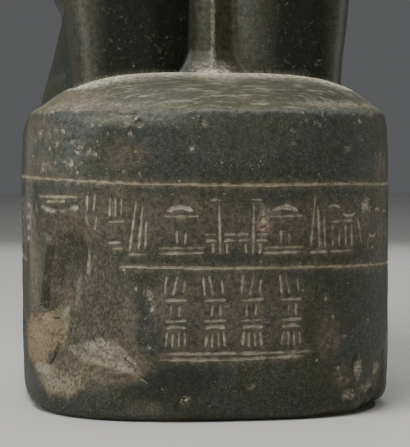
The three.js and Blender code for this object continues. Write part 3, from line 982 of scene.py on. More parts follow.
def arm_forms():
    """A shoulder, the arm down from it and the hand flat on the side of the shrine."""
    shoulder = lump((2.02, 4.48, 8.1), (0.66, 0.68, 0.78))
    arm = limb([
        (2.06, 4.5, 8.5, 0.44, 0.46), (2.2, 4.5, 7.9, 0.53, 0.64), (2.28, 4.5, 7.3, 0.47, 0.58),
        (2.3, 4.48, 6.8, 0.43, 0.53), (2.32, 4.42, 5.9, 0.4, 0.48), (2.28, 4.22, 5.06, 0.41, 0.45),
        (2.1, 3.7, 4.64, 0.41, 0.44), (1.86, 2.9, 4.5, 0.36, 0.42), (1.6, 2.2, 4.46, 0.28, 0.38),
        (1.46, 1.75, 4.46, 0.22, 0.38),
    ])
    palm = body(
        [(1.1, 1.24, 4.46, 0.15, 0.4), (1.9, 1.36, 4.46, 0.24, 0.42)],
        along="y", power=3, round_ends=(0.05, 0),
    )
    steps = [("add", shoulder, 0.1), ("add", arm, 0.12), ("add", palm, 0.08)]
    for place, reach in zip((0.29, 0.1, -0.09, -0.28), (0.47, 0.4, 0.44, 0.56)):
        finger = limb([
            (1.32, 1.5, 4.46 + place, 0.1), (1.3, 1.0, 4.46 + place, 0.105),
            (1.22, reach, 4.46 + place, 0.085),
        ], 10)
        steps.append(("add", finger, 0.015))
    thumb = limb([(1.44, 1.7, 4.72, 0.12), (1.36, 1.4, 4.92, 0.11), (1.24, 1.08, 5.06, 0.09)], 10)
    steps.append(("add", thumb, 0.03))
    return steps


def web_forms():
    """The stone left beside the trunk, under the arms and behind the shrine."""
    under_arms = body(
        [(1.5, 0, 3.2, 1.22, 1.1), (2.9, 0, 3.2, 1.66, 1.15), (4.5, 0, 3.2, 1.98, 1.2)],
        along="y", power=5,
    )
    return [
        ("add", block((1.1, 4.15, 4.3), (2.2, 4.85, 8.1)), 0.08),
        ("add", under_arms, 0.08),
        ("add", block((-0.96, 2.2, 2.2), (0.96, 4, 6.1), 0.04), 0.05),
    ]


def pillar_forms():
    """The back pillar, up to the height of the shoulders' wig."""
    return [("add", block((-0.78, 4.6, -0.8), (0.78, 6.1, 11), 0.06), 0.03)]


def kilt_forms():
    """The kilt's hem over the thighs."""
    return [
        ("cut", limb([(0, 0.62, 2.95, 0.02), (0.6, 0.66, 2.8, 0.02), (1.2, 0.72, 2.7, 0.02)]), 0.02),
    ]


def body_mesh(step):
    """The figure without its head and its shrine."""
    steps = web_forms() + torso_forms() + arm_forms() + leg_forms() + filling_forms() + pillar_forms()
    return carve(steps, (0, -0.3, -1), (2.95, 6.2, 11.2), step)


def shrine_forms():
    """The shrine: battered walls, a torus and cornice, a low vaulted roof, and its niche."""
    walls = turned_box(
        [(2.3, 1.2, 0.04), (2.86, 1.18, 0.04), (2.9, 1.14, 0), (6, 1.06, -0.06), (6.02, 1.1, -0.02),
         (6.12, 1.1, -0.02), (6.14, 1.05, -0.07), (6.32, 1.08, -0.04), (6.48, 1.16, 0.04),
         (6.56, 1.24, 0.12), (6.7, 1.24, 0.12), (6.72, 1.16, 0.02), (6.86, 1.1, -0.2),
         (6.92, 1, -0.6)],
        0.5, 2.5,
    )
    niche = block((-0.72, -0.2, 3.18), (0.72, 0.98, 5.72))
    steps = [("add", walls, 0), ("cut", niche, 0.01)]
    steps.append(("cut", block((-0.84, 0.2, 3.06), (0.84, 0.54, 5.86), 0, 0.01), 0.01))
    return steps


def niche_figure_forms():
    """The small wrapped figure that stands in the niche."""
    figure = body(
        [(3.1, 0, 0.8, 0.26, 0.24), (3.3, 0, 0.84, 0.24, 0.2), (4, 0, 0.86, 0.27, 0.2),
         (4.5, 0, 0.84, 0.34, 0.22), (4.78, 0, 0.86, 0.36, 0.18), (4.94, 0, 0.86, 0.16, 0.15),
         (5.12, 0, 0.82, 0.17, 0.18), (5.32, 0, 0.84, 0.15, 0.16), (5.62, 0, 0.9, 0.06, 0.08)],
    )
    return [
        ("add", figure, 0.03),
        ("add", limb([(0.3, 0.74, 4.7, 0.06), (0.3, 0.66, 4.5, 0.07), (0.06, 0.6, 4.4, 0.06)], 8), 0.03),
        ("add", block((-0.4, 0.3, 3.12), (0.4, 0.98, 3.28)), 0.02),
    ]


def shrine_mesh(step):
    """The shrine with the figure in its niche."""
    steps = shrine_forms() + niche_figure_forms()
    return carve(steps, (0, 0.2, 2.2), (1.35, 2.8, 7.05), step)


def head_forms():
    """The bag wig, the opening for the face, the head and its features."""
    wig = body(
        [(8.9, 0, 4.78, 1.4, 0.56), (9.5, 0, 4.7, 1.42, 0.72), (10.2, 0, 4.54, 1.34, 0.92),
         (10.9, 0, 4.36, 1.2, 1.08), (11.4, 0, 4.28, 1.08, 1.1), (12, 0, 4.3, 0.9, 0.96)],
        power=2.3, round_ends=(0.1, 0.62),
    )
    opening = body(
        [(2.6, 0, 10.2, 0.8, 1.02), (3.2, 0, 10.2, 0.8, 1.02), (3.9, 0, 10.2, 0.84, 1.02)],
        along="y", power=2.6,
    )
    skull = body(
        [(9.5, 0, 3.92, 0.32, 0.42), (9.7, 0, 3.92, 0.48, 0.6), (10.1, 0, 3.96, 0.66, 0.74),
         (10.6, 0, 4, 0.74, 0.79), (11, 0, 4.03, 0.76, 0.81), (11.6, 0, 4.1, 0.7, 0.8)],
        power=2.2, round_ends=(0.1, 0.3),
    )
    nose = limb([
        (0, 3.31, 10.95, 0.08, 0.1), (0, 3.23, 10.7, 0.085, 0.12), (0, 3.16, 10.48, 0.115, 0.14),
        (0, 3.24, 10.4, 0.1, 0.07),
    ], 12)
    steps = [("add", wig, 0), ("cut", opening, 0.04), ("add", skull, 0.04)]
    steps += [
        ("add", lump((0.4, 3.5, 10.3), (0.34, 0.22, 0.34)), 0.22),
        ("cut", lump((0.34, 3.17, 10.75), (0.3, 0.13, 0.13)), 0.14),
        ("add", nose, 0.09),
        ("add", lump((0.1, 3.25, 10.42), (0.075, 0.09, 0.065)), 0.04),
        ("add", lump((0.34, 3.4, 10.74), (0.2, 0.16, 0.085)), 0.01),
        ("add", limb([(0.14, 3.27, 10.73, 0.014), (0.33, 3.23, 10.83, 0.018), (0.6, 3.4, 10.75, 0.014)], 12), 0.03),
        ("add", limb([(0.15, 3.28, 10.72, 0.01), (0.34, 3.26, 10.66, 0.012), (0.53, 3.36, 10.72, 0.01)], 12), 0.03),
        ("add", limb([(0.1, 3.23, 10.97, 0.022), (0.36, 3.23, 11.03, 0.026), (0.66, 3.45, 10.94, 0.018)], 12), 0.07),
        ("add", limb([(0, 3.2, 10.16, 0.05), (0.1, 3.21, 10.17, 0.05), (0.32, 3.36, 10.14, 0.02)], 12), 0.05),
        ("add", limb([(0, 3.21, 10.05, 0.055), (0.12, 3.23, 10.05, 0.055), (0.3, 3.36, 10.1, 0.02)], 12), 0.05),
        ("cut", limb([(0, 3.13, 10.105, 0.01), (0.16, 3.17, 10.1, 0.01), (0.34, 3.33, 10.12, 0.008)], 12), 0.02),
        ("add", lump((0, 3.36, 9.78), (0.22, 0.16, 0.16)), 0.12),
        ("add", limb([(0.84, 3.72, 10.4, 0.07), (0.98, 3.66, 10.62, 0.06), (0.96, 3.66, 10.84, 0.06)], 12), 0.03),
        ("add", lump((0.88, 3.72, 10.6), (0.12, 0.12, 0.3)), 0.03),
        ("cut", lump((0.9, 3.56, 10.68), (0.05, 0.07, 0.15)), 0.03),
    ]
    return steps


def head_mesh(step):
    """The head and the wig."""
    return carve(head_forms(), (0, 2.8, 8.8), (1.55, 5.6, 12.1), step)


# Masks on the finished stone

# Patches of colour on the base: mask, middle in girth and height, half sizes, strength
PATCHES = (
    ("ochre", (-120, 38), (24, 17), 1.3),
    ("ochre", (-128, 74), (13, 28), 0.5),
    ("ochre", (-98, 44), (6, 10), 0.75),
    ("ochre", (-96, 19), (26, 9), 0.7),
    ("ochre", (-100, 60), (9, 12), 0.35),
    ("ochre", (-52, 56), (6, 26), 0.24),
    ("ochre", (-35, 60), (7, 14), 0.35),
    ("ochre", (2, 57), (48, 26), 0.26),
    ("ochre", (-50, 104), (70, 17), 0.24),
    ("ochre", (40, 102), (70, 15), 0.24),
    ("ochre", (17, 103), (4, 10), 0.8),
    ("ochre", (-116, 150), (22, 12), 0.25),
    ("ochre", (-112, 130), (20, 9), 0.22),
    ("ochre", (-52, 136), (12, 8), 0.2),
    # Cool patches paint sheen and highlight, partly on rubbed stone.
    ("cool", (-104, 140), (40, 26), 0.4),
    # Dark patches are partly painted shade: at the foot of the base and on the right of the slope.
    ("dark", (-44, 20), (22, 14), 0.5),
    ("dark", (76, 145), (34, 16), 0.42),
    ("dark", (68, 167), (54, 8), 1.0),
    ("ochre", (98, 110), (12, 50), 0.22),
    ("ochre", (53, 42), (9, 15), 0.26),
    ("ochre", (62, 20), (7, 6), 0.3),
    ("ochre", (-104, 165), (50, 6), 0.36),
    ("ochre", (-58, 116), (8, 5), 0.4),
    ("ochre", (-66, 30), (30, 14), 0.3),
    # Pale patches: worn stone and chips, with painted highlight on the trough's lip and along the arris.
    ("pale", (-78, 80), (2.2, 9), 0.7),
    ("pale", (-87, 65), (4, 10), 0.35),
    ("pale", (-96, 52), (5, 7), 0.35),
    ("pale", (-112, 24), (12, 3), 1.0),
    ("pale", (-122, 42), (12, 10), 0.22),
    ("pale", (-99, 18), (20, 7), 0.4),
    ("pale", (-136, 130), (12, 60), 0.25),
    ("pale", (74, 23), (2.2, 7), 0.9),
    ("pale", (111, 32), (3, 8), 0.6),
    ("pale", (96, 23), (5, 4), 0.7),
    ("pale", (84, 14), (9, 3), 0.6),
    ("pale", (68, 11), (6, 3), 0.7),
    ("pale", (78.7, 110), (3.4, 3.4), 0.9),
    ("pale", (-84, 161), (60, 3), 0.3),
    ("pale", (70, 162), (44, 2.2), 0.5),
    # These cool patches paint sheen and highlight along the arris and at both side edges.
    ("cool", (-56, 156.5), (70, 4), 0.5),
    ("cool", (50, 158.5), (100, 2), 0.8),
    ("cool", (-106, 148), (20, 22), 0.35),
    ("cool", (14, 144), (70, 14), 0.14),
    ("cool", (-150, 120), (10, 60), 0.4),
    ("cool", (150, 120), (16, 60), 0.4),
    # Painted shade in the trough and along the foot of the base, with some stains.
    ("dark", (-86, 84), (10, 15), 0.7),
    ("dark", (-100, 66), (9, 14), 0.5),
    ("dark", (-98, 8), (46, 8), 0.5),
    ("dark", (-30, 20), (28, 13), 1.0),
    ("dark", (20, 10), (120, 9), 0.35),
    ("dark", (-52, 24), (14, 10), 0.3),
    ("dark", (75, 60), (34, 34), 0.1),
)


def write_mask(mesh, name, values):
    """A named value at each point, which the material reads."""
    attribute = mesh.attributes.new(name, "FLOAT", "POINT")
    attribute.data.foreach_set("value", np.asarray(values, np.float32))


def patch_masks(flat):
    """The strength of each kind of patch at places on the base."""
    masks = {name: np.zeros(len(flat)) for name in ("ochre", "pale", "dark", "cool")}
    ragged = np.stack([rough(flat, 9, 3, seed=83), rough(flat, 9, 3, seed=89)], axis=1)
    for name, middle, halves, strength in PATCHES:
        near = window_of(flat, [np.subtract(middle, halves), np.add(middle, halves)], 8)
        reach = np.linalg.norm((flat[near] - middle) / halves + 0.35 * ragged[near], axis=1)
        there = strength * (1 - step_up(reach, 0.45, 1.1))
        masks[name][near] = np.maximum(masks[name][near], there)
    near = window_of(flat, LOBE, 5)
    lobe = step_up(inside_outline(ragged_places(flat[near]), LOBE), -0.6, 1.6)
    streaks = rough(turned(flat[near], -24) * (0.25, 1), 2.4, 3, seed=97)
    masks["pale"][near] = np.maximum(masks["pale"][near], lobe * np.clip(0.5 + 0.75 * streaks, 0, 1))
    return masks


def spot_masks(flat):
    """How far places lie in a small chip or pit."""
    mask = np.zeros(len(flat))
    for middle, radius, _ in (*PITS, *scattered_spots()):
        near = window_of(flat, [middle], radius + 2)
        mask[near] = np.maximum(mask[near], spot_mask(flat[near], middle, 1.25 * radius))
    return mask


def mark_surface(mesh):
    """Where the stone is broken, cut, pitted, stained or worn pale, and where shade and sheen are painted: the dark
    patches partly as painted shade, the cool patches as painted sheen, partly on rubbed stone.
    """
    points = vertex_array(mesh)
    flat, reach = place_on_base(points)
    on_face = step_up(reach, 0.7, 0.8) * (1 - step_up(points[:, 2], 172, 180))
    _, broken = losses(flat)
    whole = on_face * (1 - broken)
    write_mask(mesh, "broken", broken * on_face)
    write_mask(mesh, "cut", np.clip(cuts(flat) / STROKE_DEPTH, 0, 1) * whole)
    write_mask(mesh, "haze", np.clip(cuts(flat, HAZE_SPREAD) / STROKE_DEPTH, 0, 1) * whole)
    write_mask(mesh, "spot", spot_masks(flat) * whole)
    for name, value in patch_masks(flat).items():
        write_mask(mesh, name, value * on_face)


HAZE_SPREAD = 2.6


# Material nodes

class Tree:
    """A short way to add and link shader nodes."""

    def __init__(self, tree):
        self.tree = tree
        self.nodes = tree.nodes

    def feed(self, socket, value):
        """Links a socket to another node's output, or sets its value."""
        if isinstance(value, bpy.types.NodeSocket):
            self.tree.links.new(value, socket)
        else:
            socket.default_value = value

    def node(self, kind, inputs=None, **settings):
        """A new node with its settings and its inputs by name."""
        made = self.nodes.new(kind)
        for name, value in settings.items():
            setattr(made, name, value)
        for name, value in (inputs or {}).items():
            self.feed(made.inputs[name], value)
        return made

    def mix(self, factor, a, b, blend="MIX"):
        """A mix of two colours."""
        made = self.node("ShaderNodeMix", data_type="RGBA", blend_type=blend, clamp_factor=True)
        for place, value in ((0, factor), (6, a), (7, b)):
            self.feed(made.inputs[place], value)
        return made.outputs[2]

    def math(self, operation, a, b=0.0, c=0.0, clamp=False):
        """A sum on values."""
        made = self.node("ShaderNodeMath", operation=operation, use_clamp=clamp)
        for place, value in enumerate((a, b, c)):
            self.feed(made.inputs[place], value)
        return made.outputs[0]

    def times(self, *values):
        """A product of values."""
        product = values[0]
        for value in values[1:]:
            product = self.math("MULTIPLY", product, value)
        return product

    def remap(self, value, low, high, to_low=0.0, to_high=1.0):
        """A value taken softly from one range to another."""
        made = self.node(
            "ShaderNodeMapRange",
            {"From Min": low, "From Max": high, "To Min": to_low, "To Max": to_high, "Value": value},
            interpolation_type="SMOOTHSTEP",
        )
        return made.outputs["Result"]

    def noise(self, place, size, detail=3.0, roughness=0.55):
        """Noise with lumps of about a size in millimetres."""
        made = self.node(
            "ShaderNodeTexNoise",
            {"Vector": place, "Scale": 1 / (size * MM), "Detail": detail, "Roughness": roughness},
        )
        return made.outputs["Fac"]

    def stretched(self, place, turn, scale):
        """Places turned in the plane of the front and squeezed, so that noise is drawn out."""
        made = self.node(
            "ShaderNodeMapping", {"Vector": place, "Rotation": (0, turn, 0), "Scale": scale}
        )
        return made.outputs["Vector"]

    def mask(self, name):
        """A value that the mesh carries at its points."""
        return self.node("ShaderNodeAttribute", attribute_name=name).outputs["Fac"]


def new_group(name, outputs):
    """An empty node group with named outputs."""
    group = bpy.data.node_groups.new(name, "ShaderNodeTree")
    for label, kind in outputs:
        group.interface.new_socket(label, in_out="OUTPUT", socket_type=kind)
    tree = Tree(group)
    return group, tree, tree.node("NodeGroupOutput")


def stone_body(tree, place, finish):
    """The dressed stone: grey with olive clouds, brownish blotches and a fine grain."""
    cloud = tree.noise(place, 24, 4, 0.5)
    colour = tree.mix(tree.remap(cloud, 0.4, 0.6), (*finish.stone, 1), (*finish.patina, 1))
    blotch = tree.noise(place, 7, 4, 0.6)
    colour = tree.mix(tree.remap(blotch, 0.45, 0.68, 0.0, 0.6), colour, (*finish.shade, 1))
    mottle = tree.noise(place, 2.4, 3, 0.6)
    colour = tree.mix(1.0, colour, tree.mix(tree.remap(mottle, 0.34, 0.66), *MOTTLE), "MULTIPLY")
    grain = tree.noise(place, 0.8, 2, 0.6)
    return tree.mix(1.0, colour, tree.mix(tree.remap(grain, 0.34, 0.68), *GRAIN), "MULTIPLY")


# The darkest and the brightest that the mottle and the grain make the stone
MOTTLE = ((0.74, 0.75, 0.76, 1), (1.28, 1.27, 1.22, 1))
GRAIN = ((0.58, 0.6, 0.6, 1), (1.62, 1.58, 1.5, 1))


def clinging(tree, place, mask, size):
    """A mask that thins and thickens as earth or wear does on stone; it also breaks up the painted light, sheen and
    highlight.
    """
    noise = tree.remap(tree.noise(place, size, 4, 0.7), 0.36, 0.66, 0.1, 1.6)
    return tree.math("MULTIPLY", mask, noise, clamp=True)


def flecks(tree, place, size, least, most, spread):
    """Scattered small specks, thicker in some places than in others."""
    specks = tree.remap(tree.noise(place, size, 2, 0.5), least, most)
    return tree.times(specks, tree.remap(tree.noise(place, spread, 2), 0.38, 0.66, 0.05, 0.9))


def stone_group(finish):
    """The colour, roughness and grain of the stone, with painted light, shade and highlight in the colour."""
    group, tree, out = new_group("dark stone", (
        ("Color", "NodeSocketColor"), ("Roughness", "NodeSocketFloat"), ("Height", "NodeSocketFloat"),
    ))
    place = tree.node("ShaderNodeTexCoord").outputs["Object"]
    broken, ochre, pale, dark, cool, cut, haze, spot = (
        tree.mask(name) for name in ("broken", "ochre", "pale", "dark", "cool", "cut", "haze", "spot")
    )
    facing = tree.node("ShaderNodeNewGeometry").outputs["Normal"]
    upward = tree.node("ShaderNodeSeparateXYZ", {"Vector": facing}).outputs["Z"]
    figure, polish_and_shade, rim, mound, flank, front = knee_masks(tree, place, upward)
    colour = stone_body(tree, place, finish)
    # The figure is darkened for its polish and darker still over the knees, where that is painted shade; front adds
    # painted shade on the knees' front faces.
    colour = tree.mix(polish_and_shade, colour, tree.mix(1.0, colour, POLISH_AND_SHADE, "MULTIPLY"))
    colour = tree.mix(front, colour, tree.mix(1.0, colour, POLISH_AND_SHADE, "MULTIPLY"))
    # Painted light: the ridge, the right knee's inner flank and the knees' outer sides are lightened to a light olive,
    # as if lit from the sides.
    colour = tree.mix(clinging(tree, place, tree.times(flank, 0.2), 3), colour, (*finish.flank_light, 1))
    streaks = tree.noise(tree.stretched(place, math.radians(20), (1, 1, 0.45)), 0.95, 5, 0.8)
    fresh = tree.mix(tree.remap(streaks, 0.42, 0.62), (*finish.broken_shade, 1), (*finish.broken, 1))
    patchy = tree.mix(tree.remap(tree.noise(place, 8, 3, 0.6), 0.36, 0.64), *BROKEN_TINTS)
    fresh = tree.mix(1.0, fresh, patchy, "MULTIPLY")
    colour = tree.mix(tree.times(broken, 0.85), colour, fresh)
    # Partly painted shade: the dark patches darken the base's foot, the trough and the slope's right side, besides
    # stains.
    colour = tree.mix(tree.times(dark, 0.8), colour, tree.mix(1.0, colour, STAIN_AND_SHADE, "MULTIPLY"))
    bare = tree.math("SUBTRACT", 1.0, figure)
    # Painted top light: stone that faces up is lightened and mixed half with the slope's light olive, over worn stone;
    # the scratches on it are wear.
    lying = tree.times(tree.remap(upward, 0.3, 0.75), bare)
    dressed = tree.mix(0.5, tree.mix(1.0, colour, TOP_LIGHT, "MULTIPLY"), (*finish.slope, 1))
    colour = tree.mix(tree.times(lying, 0.9), colour, dressed)
    scratches = tree.noise(tree.stretched(place, 0, (0.09, 0.8, 0.4)), 1.1, 3, 0.7)
    scratches = tree.times(lying, tree.remap(scratches, 0.52, 0.66))
    colour = tree.mix(tree.times(scratches, 0.7), colour, (*finish.worn, 1))
    # Painted sheen: the cool patches turn cool grey as highlight along the arris and the side edges, partly on rubbed
    # stone.
    colour = tree.mix(clinging(tree, place, tree.times(cool, 0.8), 3), colour, (*finish.rubbed, 1))
    # earth is ochre earth and dust beside the cuts, with a little painted light on the knees' flanks.
    earth = tree.math("MAXIMUM", tree.math("MAXIMUM", ochre, tree.times(flank, 0.05)), tree.times(haze, 0.24))
    colour = tree.mix(clinging(tree, place, earth, 2.2), colour, (*finish.ochre, 1))
    # worn joins the pale patches with the knees' joint, mound and crest; the ridge's crest and the trough's lip among
    # them are painted highlight, the mound and the chips are wear.
    worn = tree.math("MAXIMUM", pale, mound)
    colour = tree.mix(clinging(tree, place, worn, 1.6), colour, (*finish.worn, 1))
    # Painted highlight: a bright line along the crest's rim at the knees' foot, on stone that faces up, over worn
    # stone.
    colour = tree.mix(clinging(tree, place, rim, 2.4), colour, (*finish.rim_highlight, 1))
    specks = tree.times(front, flecks(tree, place, 2.1, 0.57, 0.74, 11), 0.42)
    colour = tree.mix(specks, colour, (*finish.worn, 1))
    bright = tree.math("MULTIPLY_ADD", figure, -0.6, 1.0)
    colour = tree.mix(tree.times(flecks(tree, place, 1.3, 0.63, 0.74, 16), bright, 0.6), colour, (*finish.ochre, 1))
    colour = tree.mix(tree.times(flecks(tree, place, 0.9, 0.68, 0.74, 30), bright), colour, (*finish.dust, 1))
    colour = tree.mix(tree.times(flecks(tree, place, 1.1, 0.64, 0.72, 12), tree.math("MULTIPLY_ADD", ochre, -0.4, 0.7)), colour, (*finish.pit, 1))
    chipped = tree.times(spot, tree.remap(tree.noise(place, 1.5, 3, 0.7), 0.42, 0.6, 0.0, 1.0))
    colour = tree.mix(chipped, colour, (*finish.chip, 1))
    filled = tree.times(cut, tree.remap(tree.noise(place, 3.0, 4, 0.65), 0.34, 0.6, 0.35, 1.0))
    colour = tree.mix(filled, colour, (*finish.dust, 1))
    grain = tree.noise(place, 0.9, 4, 0.7)
    gloss = tree.math("MULTIPLY_ADD", figure, -0.18, 0.56)
    dull = tree.math("MAXIMUM", tree.math("MAXIMUM", broken, worn), earth)
    tree.feed(out.inputs["Color"], colour)
    tree.feed(out.inputs["Roughness"], tree.math(
        "ADD", tree.math("MAXIMUM", gloss, tree.times(dull, 0.85)), tree.times(grain, 0.08)
    ))
    tree.feed(out.inputs["Height"], tree.times(grain, tree.math("MULTIPLY_ADD", broken, 1.8, 0.4)))
    return group


def knee_masks(tree, place, upward):
    """Masks of the figure, the bright rim at the knees' foot (a painted highlight on worn stone), the ridge's crest (a
    painted highlight), the inner flanks and outer sides (painted light) and the knees' front faces (darkened as
    painted shade)."""
    across, depth, height = (
        tree.math("MULTIPLY", tree.node("ShaderNodeSeparateXYZ", {"Vector": place}).outputs[axis], 1 / MM)
        for axis in "XYZ"
    )
    aside = across
    across = tree.math("ABSOLUTE", across)
    ragged = tree.math("MULTIPLY_ADD", tree.noise(place, 4, 4, 0.65), 5.0, -2.5)
    near = tree.times(tree.remap(depth, KNEE_Y + 34, KNEE_Y + 16), tree.remap(height, 262, 240))
    inside = tree.times(
        tree.remap(across, 77, 74.5), tree.remap(depth, KNEE_Y - 1.5, KNEE_Y + 1), tree.remap(depth, 100, 92),
    )
    figure = tree.math("MAXIMUM", tree.times(inside, tree.remap(height, 165, 168)), tree.remap(height, 180.5, 182.5))
    beside = tree.math("MAXIMUM", tree.math("SUBTRACT", across, 76.0), tree.math("SUBTRACT", KNEE_Y, depth))
    # The rim: a painted highlight on the base's crest beside the knees.
    rim = tree.times(
        tree.remap(tree.math("MULTIPLY_ADD", ragged, 2.4, beside), 28, 4), near,
        tree.math("SUBTRACT", 1.0, figure), tree.remap(height, 169, 172), tree.remap(upward, 0.5, 0.8),
    )
    foot = tree.math("POWER", tree.math("MULTIPLY", across, 1 / 66), 3.5)
    above = tree.math("ADD", tree.math("MULTIPLY_ADD", foot, 5.2, height), tree.math("MULTIPLY_ADD", ragged, 0.25, -180.4))
    joint = tree.times(near, figure, tree.remap(above, 2.6, -1.2), 0.4)
    mound = tree.math("POWER", tree.math("ADD", tree.math("POWER", across, 2.0), tree.math(
        "POWER", tree.math("MULTIPLY", tree.math("SUBTRACT", height, 180.0), 2.0), 2.0)), 0.5)
    mound = tree.times(near, tree.remap(tree.math("MULTIPLY_ADD", ragged, 1.6, mound), 19, 5), 0.6)
    # A painted highlight along the crest of the ridge.
    crest = tree.times(near, figure, tree.remap(tree.math("MULTIPLY_ADD", ragged, 0.4, across), 1.8, 0.4))
    # Where light is painted: the ridge, the right knee's inner flank and the knees' outer sides.
    drifted = tree.math("MULTIPLY_ADD", ragged, 1.2, aside)
    inner = tree.times(tree.remap(drifted, 38, 16), tree.remap(drifted, -14, -4))
    outer = tree.math("MAXIMUM", tree.remap(drifted, -54, -70), tree.times(tree.remap(drifted, 58, 70), 0.7))
    flank = tree.times(near, figure, tree.math("MAXIMUM", inner, outer))
    # The knees' front faces, darkened as painted shade.
    front = tree.times(
        near, figure, tree.math("MAXIMUM", tree.remap(drifted, 20, 40), tree.remap(drifted, -8, -15)),
        tree.remap(across, 68, 56),
    )
    mound = tree.math("MAXIMUM", tree.math("MAXIMUM", joint, mound), tree.times(crest, 0.45))
    # The figure's polish, darker over the knees as painted shade.
    polish_and_shade = tree.times(figure, tree.math("MULTIPLY_ADD", near, 0.3, 0.28))
    return figure, polish_and_shade, rim, mound, flank, front


# Darkening for the figure's polish, and over the knees painted shade.
POLISH_AND_SHADE = (0.27, 0.34, 0.25, 1)
# Darkening for stains, and painted shade at the base's foot, in the trough and on the slope's right.
STAIN_AND_SHADE = (0.4, 0.43, 0.45, 1)
# How much lighter stone that faces up is painted, as top light.
TOP_LIGHT = (1.75, 1.72, 1.5, 1)
BROKEN_TINTS = ((0.84, 0.8, 0.82, 1), (1.14, 1.16, 1.1, 1))


def stone_material(finish):
    """The stone of the whole statue."""
    material = bpy.data.materials.new("dark stone")
    material.use_nodes = True
    tree = Tree(material.node_tree)
    shader = tree.nodes["Principled BSDF"]
    look = tree.node("ShaderNodeGroup", node_tree=stone_group(finish))
    bump = tree.node(
        "ShaderNodeBump", {"Strength": 0.5, "Distance": 0.5 * MM, "Height": look.outputs["Height"]}
    )
    shader.inputs["Specular IOR Level"].default_value = 0.35
    tree.feed(shader.inputs["Base Color"], look.outputs["Color"])
    tree.feed(shader.inputs["Roughness"], look.outputs["Roughness"])
    tree.feed(shader.inputs["Normal"], bump.outputs["Normal"])
    return material


def plain_material(name, colour, roughness):
    """A plain material for the floor."""
    material = bpy.data.materials.new(name)
    material.use_nodes = True
    shader = material.node_tree.nodes["Principled BSDF"]
    shader.inputs["Base Color"].default_value = (*colour, 1)
    shader.inputs["Roughness"].default_value = roughness
    return material


# Settings, operators and the panel

def colour_setting(name, description, default):
    """A colour that a user can change."""
    return bpy.props.FloatVectorProperty(
        name=name, description=description, size=3, subtype="COLOR", min=0, max=1, default=default,
    )


class StatueSizes(bpy.types.PropertyGroup):
    """Sizes that a user would change."""

    figure_step: bpy.props.FloatProperty(
        name="Figure step", description="The spacing of the grid that the body is carved on",
        default=1.0 * MM, unit="LENGTH", precision=5,
    )
    fine_step: bpy.props.FloatProperty(
        name="Fine step", description="The spacing of the grid for the head and the shrine",
        default=0.55 * MM, unit="LENGTH", precision=5,
    )


class StatueFinish(bpy.types.PropertyGroup):
    """Colours that a user would change."""

    stone: colour_setting("Stone", "The grey colour of the dressed stone", (0.04, 0.046, 0.041))
    patina: colour_setting("Patina", "The olive colour that clouds it", (0.039, 0.044, 0.027))
    # Painted light on the knees' flanks and outer sides.
    flank_light: colour_setting("Moss", "The light olive of the knees' inner flanks", (0.13, 0.125, 0.08))
    # The cool grey of painted sheen and highlight on the arris and side edges, partly rubbed stone.
    rubbed: colour_setting("Rubbed edges", "The cool grey of edges rubbed smooth", (0.15, 0.16, 0.15))
    shade: colour_setting("Shade", "The brownish colour of its blotches", (0.033, 0.031, 0.02))
    pit: colour_setting("Pit", "The dark colour of its pores", (0.012, 0.012, 0.009))
    broken: colour_setting("Broken stone", "The lighter colour of broken stone", (0.17, 0.153, 0.1))
    broken_shade: colour_setting("Broken shade", "The darker colour in it", (0.052, 0.05, 0.036))
    # Light olive given to stone that faces up: painted top light over worn stone.
    slope: colour_setting("Slope", "The light olive of the slope under the figure", (0.11, 0.112, 0.074))
    ochre: colour_setting("Ochre", "The tan earth that clings to it", (0.27, 0.2, 0.12))
    worn: colour_setting("Worn stone", "The pale colour of worn and scratched stone", (0.36, 0.33, 0.24))
    # Painted highlight on the worn rim under the knees.
    rim_highlight: colour_setting("Scuffed rim", "The bright edge under the knees", (0.8, 0.75, 0.58))
    chip: colour_setting("Chip", "The tan of small chips", (0.4, 0.345, 0.25))
    dust: colour_setting("Dust", "The pale dust in the cuts", (0.5, 0.45, 0.33))
    floor: colour_setting("Floor", "The floor and the backdrop", (0.68, 0.67, 0.65))


def smooth_with_edges(mesh, angle=32):
    """Smooth shading that stops at sharp edges."""
    mesh.shade_smooth()
    mesh.set_sharp_from_angle(angle=math.radians(angle))


# About how many triangles each part keeps
BASE_COUNT = 104000
PART_COUNTS = {"figure": 46000, "shrine": 14000, "head": 26000}


def shape_statue(sizes):
    """The statue's mesh: the base joined with the figure, the shrine and the head."""
    statue = make_base()
    thin_out(statue, BASE_COUNT)
    coarse = sizes.figure_step / MM / SQUARE
    fine = sizes.fine_step / MM / SQUARE
    for name, maker, step in (
        ("figure", body_mesh, coarse), ("shrine", shrine_mesh, fine), ("head", head_mesh, fine),
    ):
        points, quads = maker(step)
        part = mesh_object(name, on_grid(points), quads)
        thin_out(part, PART_COUNTS[name])
        combine(statue, part, "UNION")
    statue.name = "statue_carving"
    statue.data.name = "statue_carving"
    return statue


def dress_statue(statue, finish):
    """The masks and the stone's material."""
    mark_surface(statue.data)
    statue.data.materials.clear()
    statue.data.materials.append(stone_material(finish))
    smooth_with_edges(statue.data)


class STATUE_OT_carve(bpy.types.Operator):
    """Carve the statue: the base, the figure, the shrine and the head as one piece of stone"""

    bl_idname = "statue.carve"
    bl_label = "Carve the statue"

    def execute(self, context):
        statue = shape_statue(context.scene.statue_sizes)
        dress_statue(statue, context.scene.statue_finish)
        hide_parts(NODE)
        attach(statue, "root")
        return {"FINISHED"}


CAMERA_AZIMUTH = math.radians(-9)
CAMERA_DISTANCE = 893
CAMERA_HEIGHT = 133.3
AIM_ASIDE = -12.9
AIM_HEIGHT = 101.2
LENS = 142.4


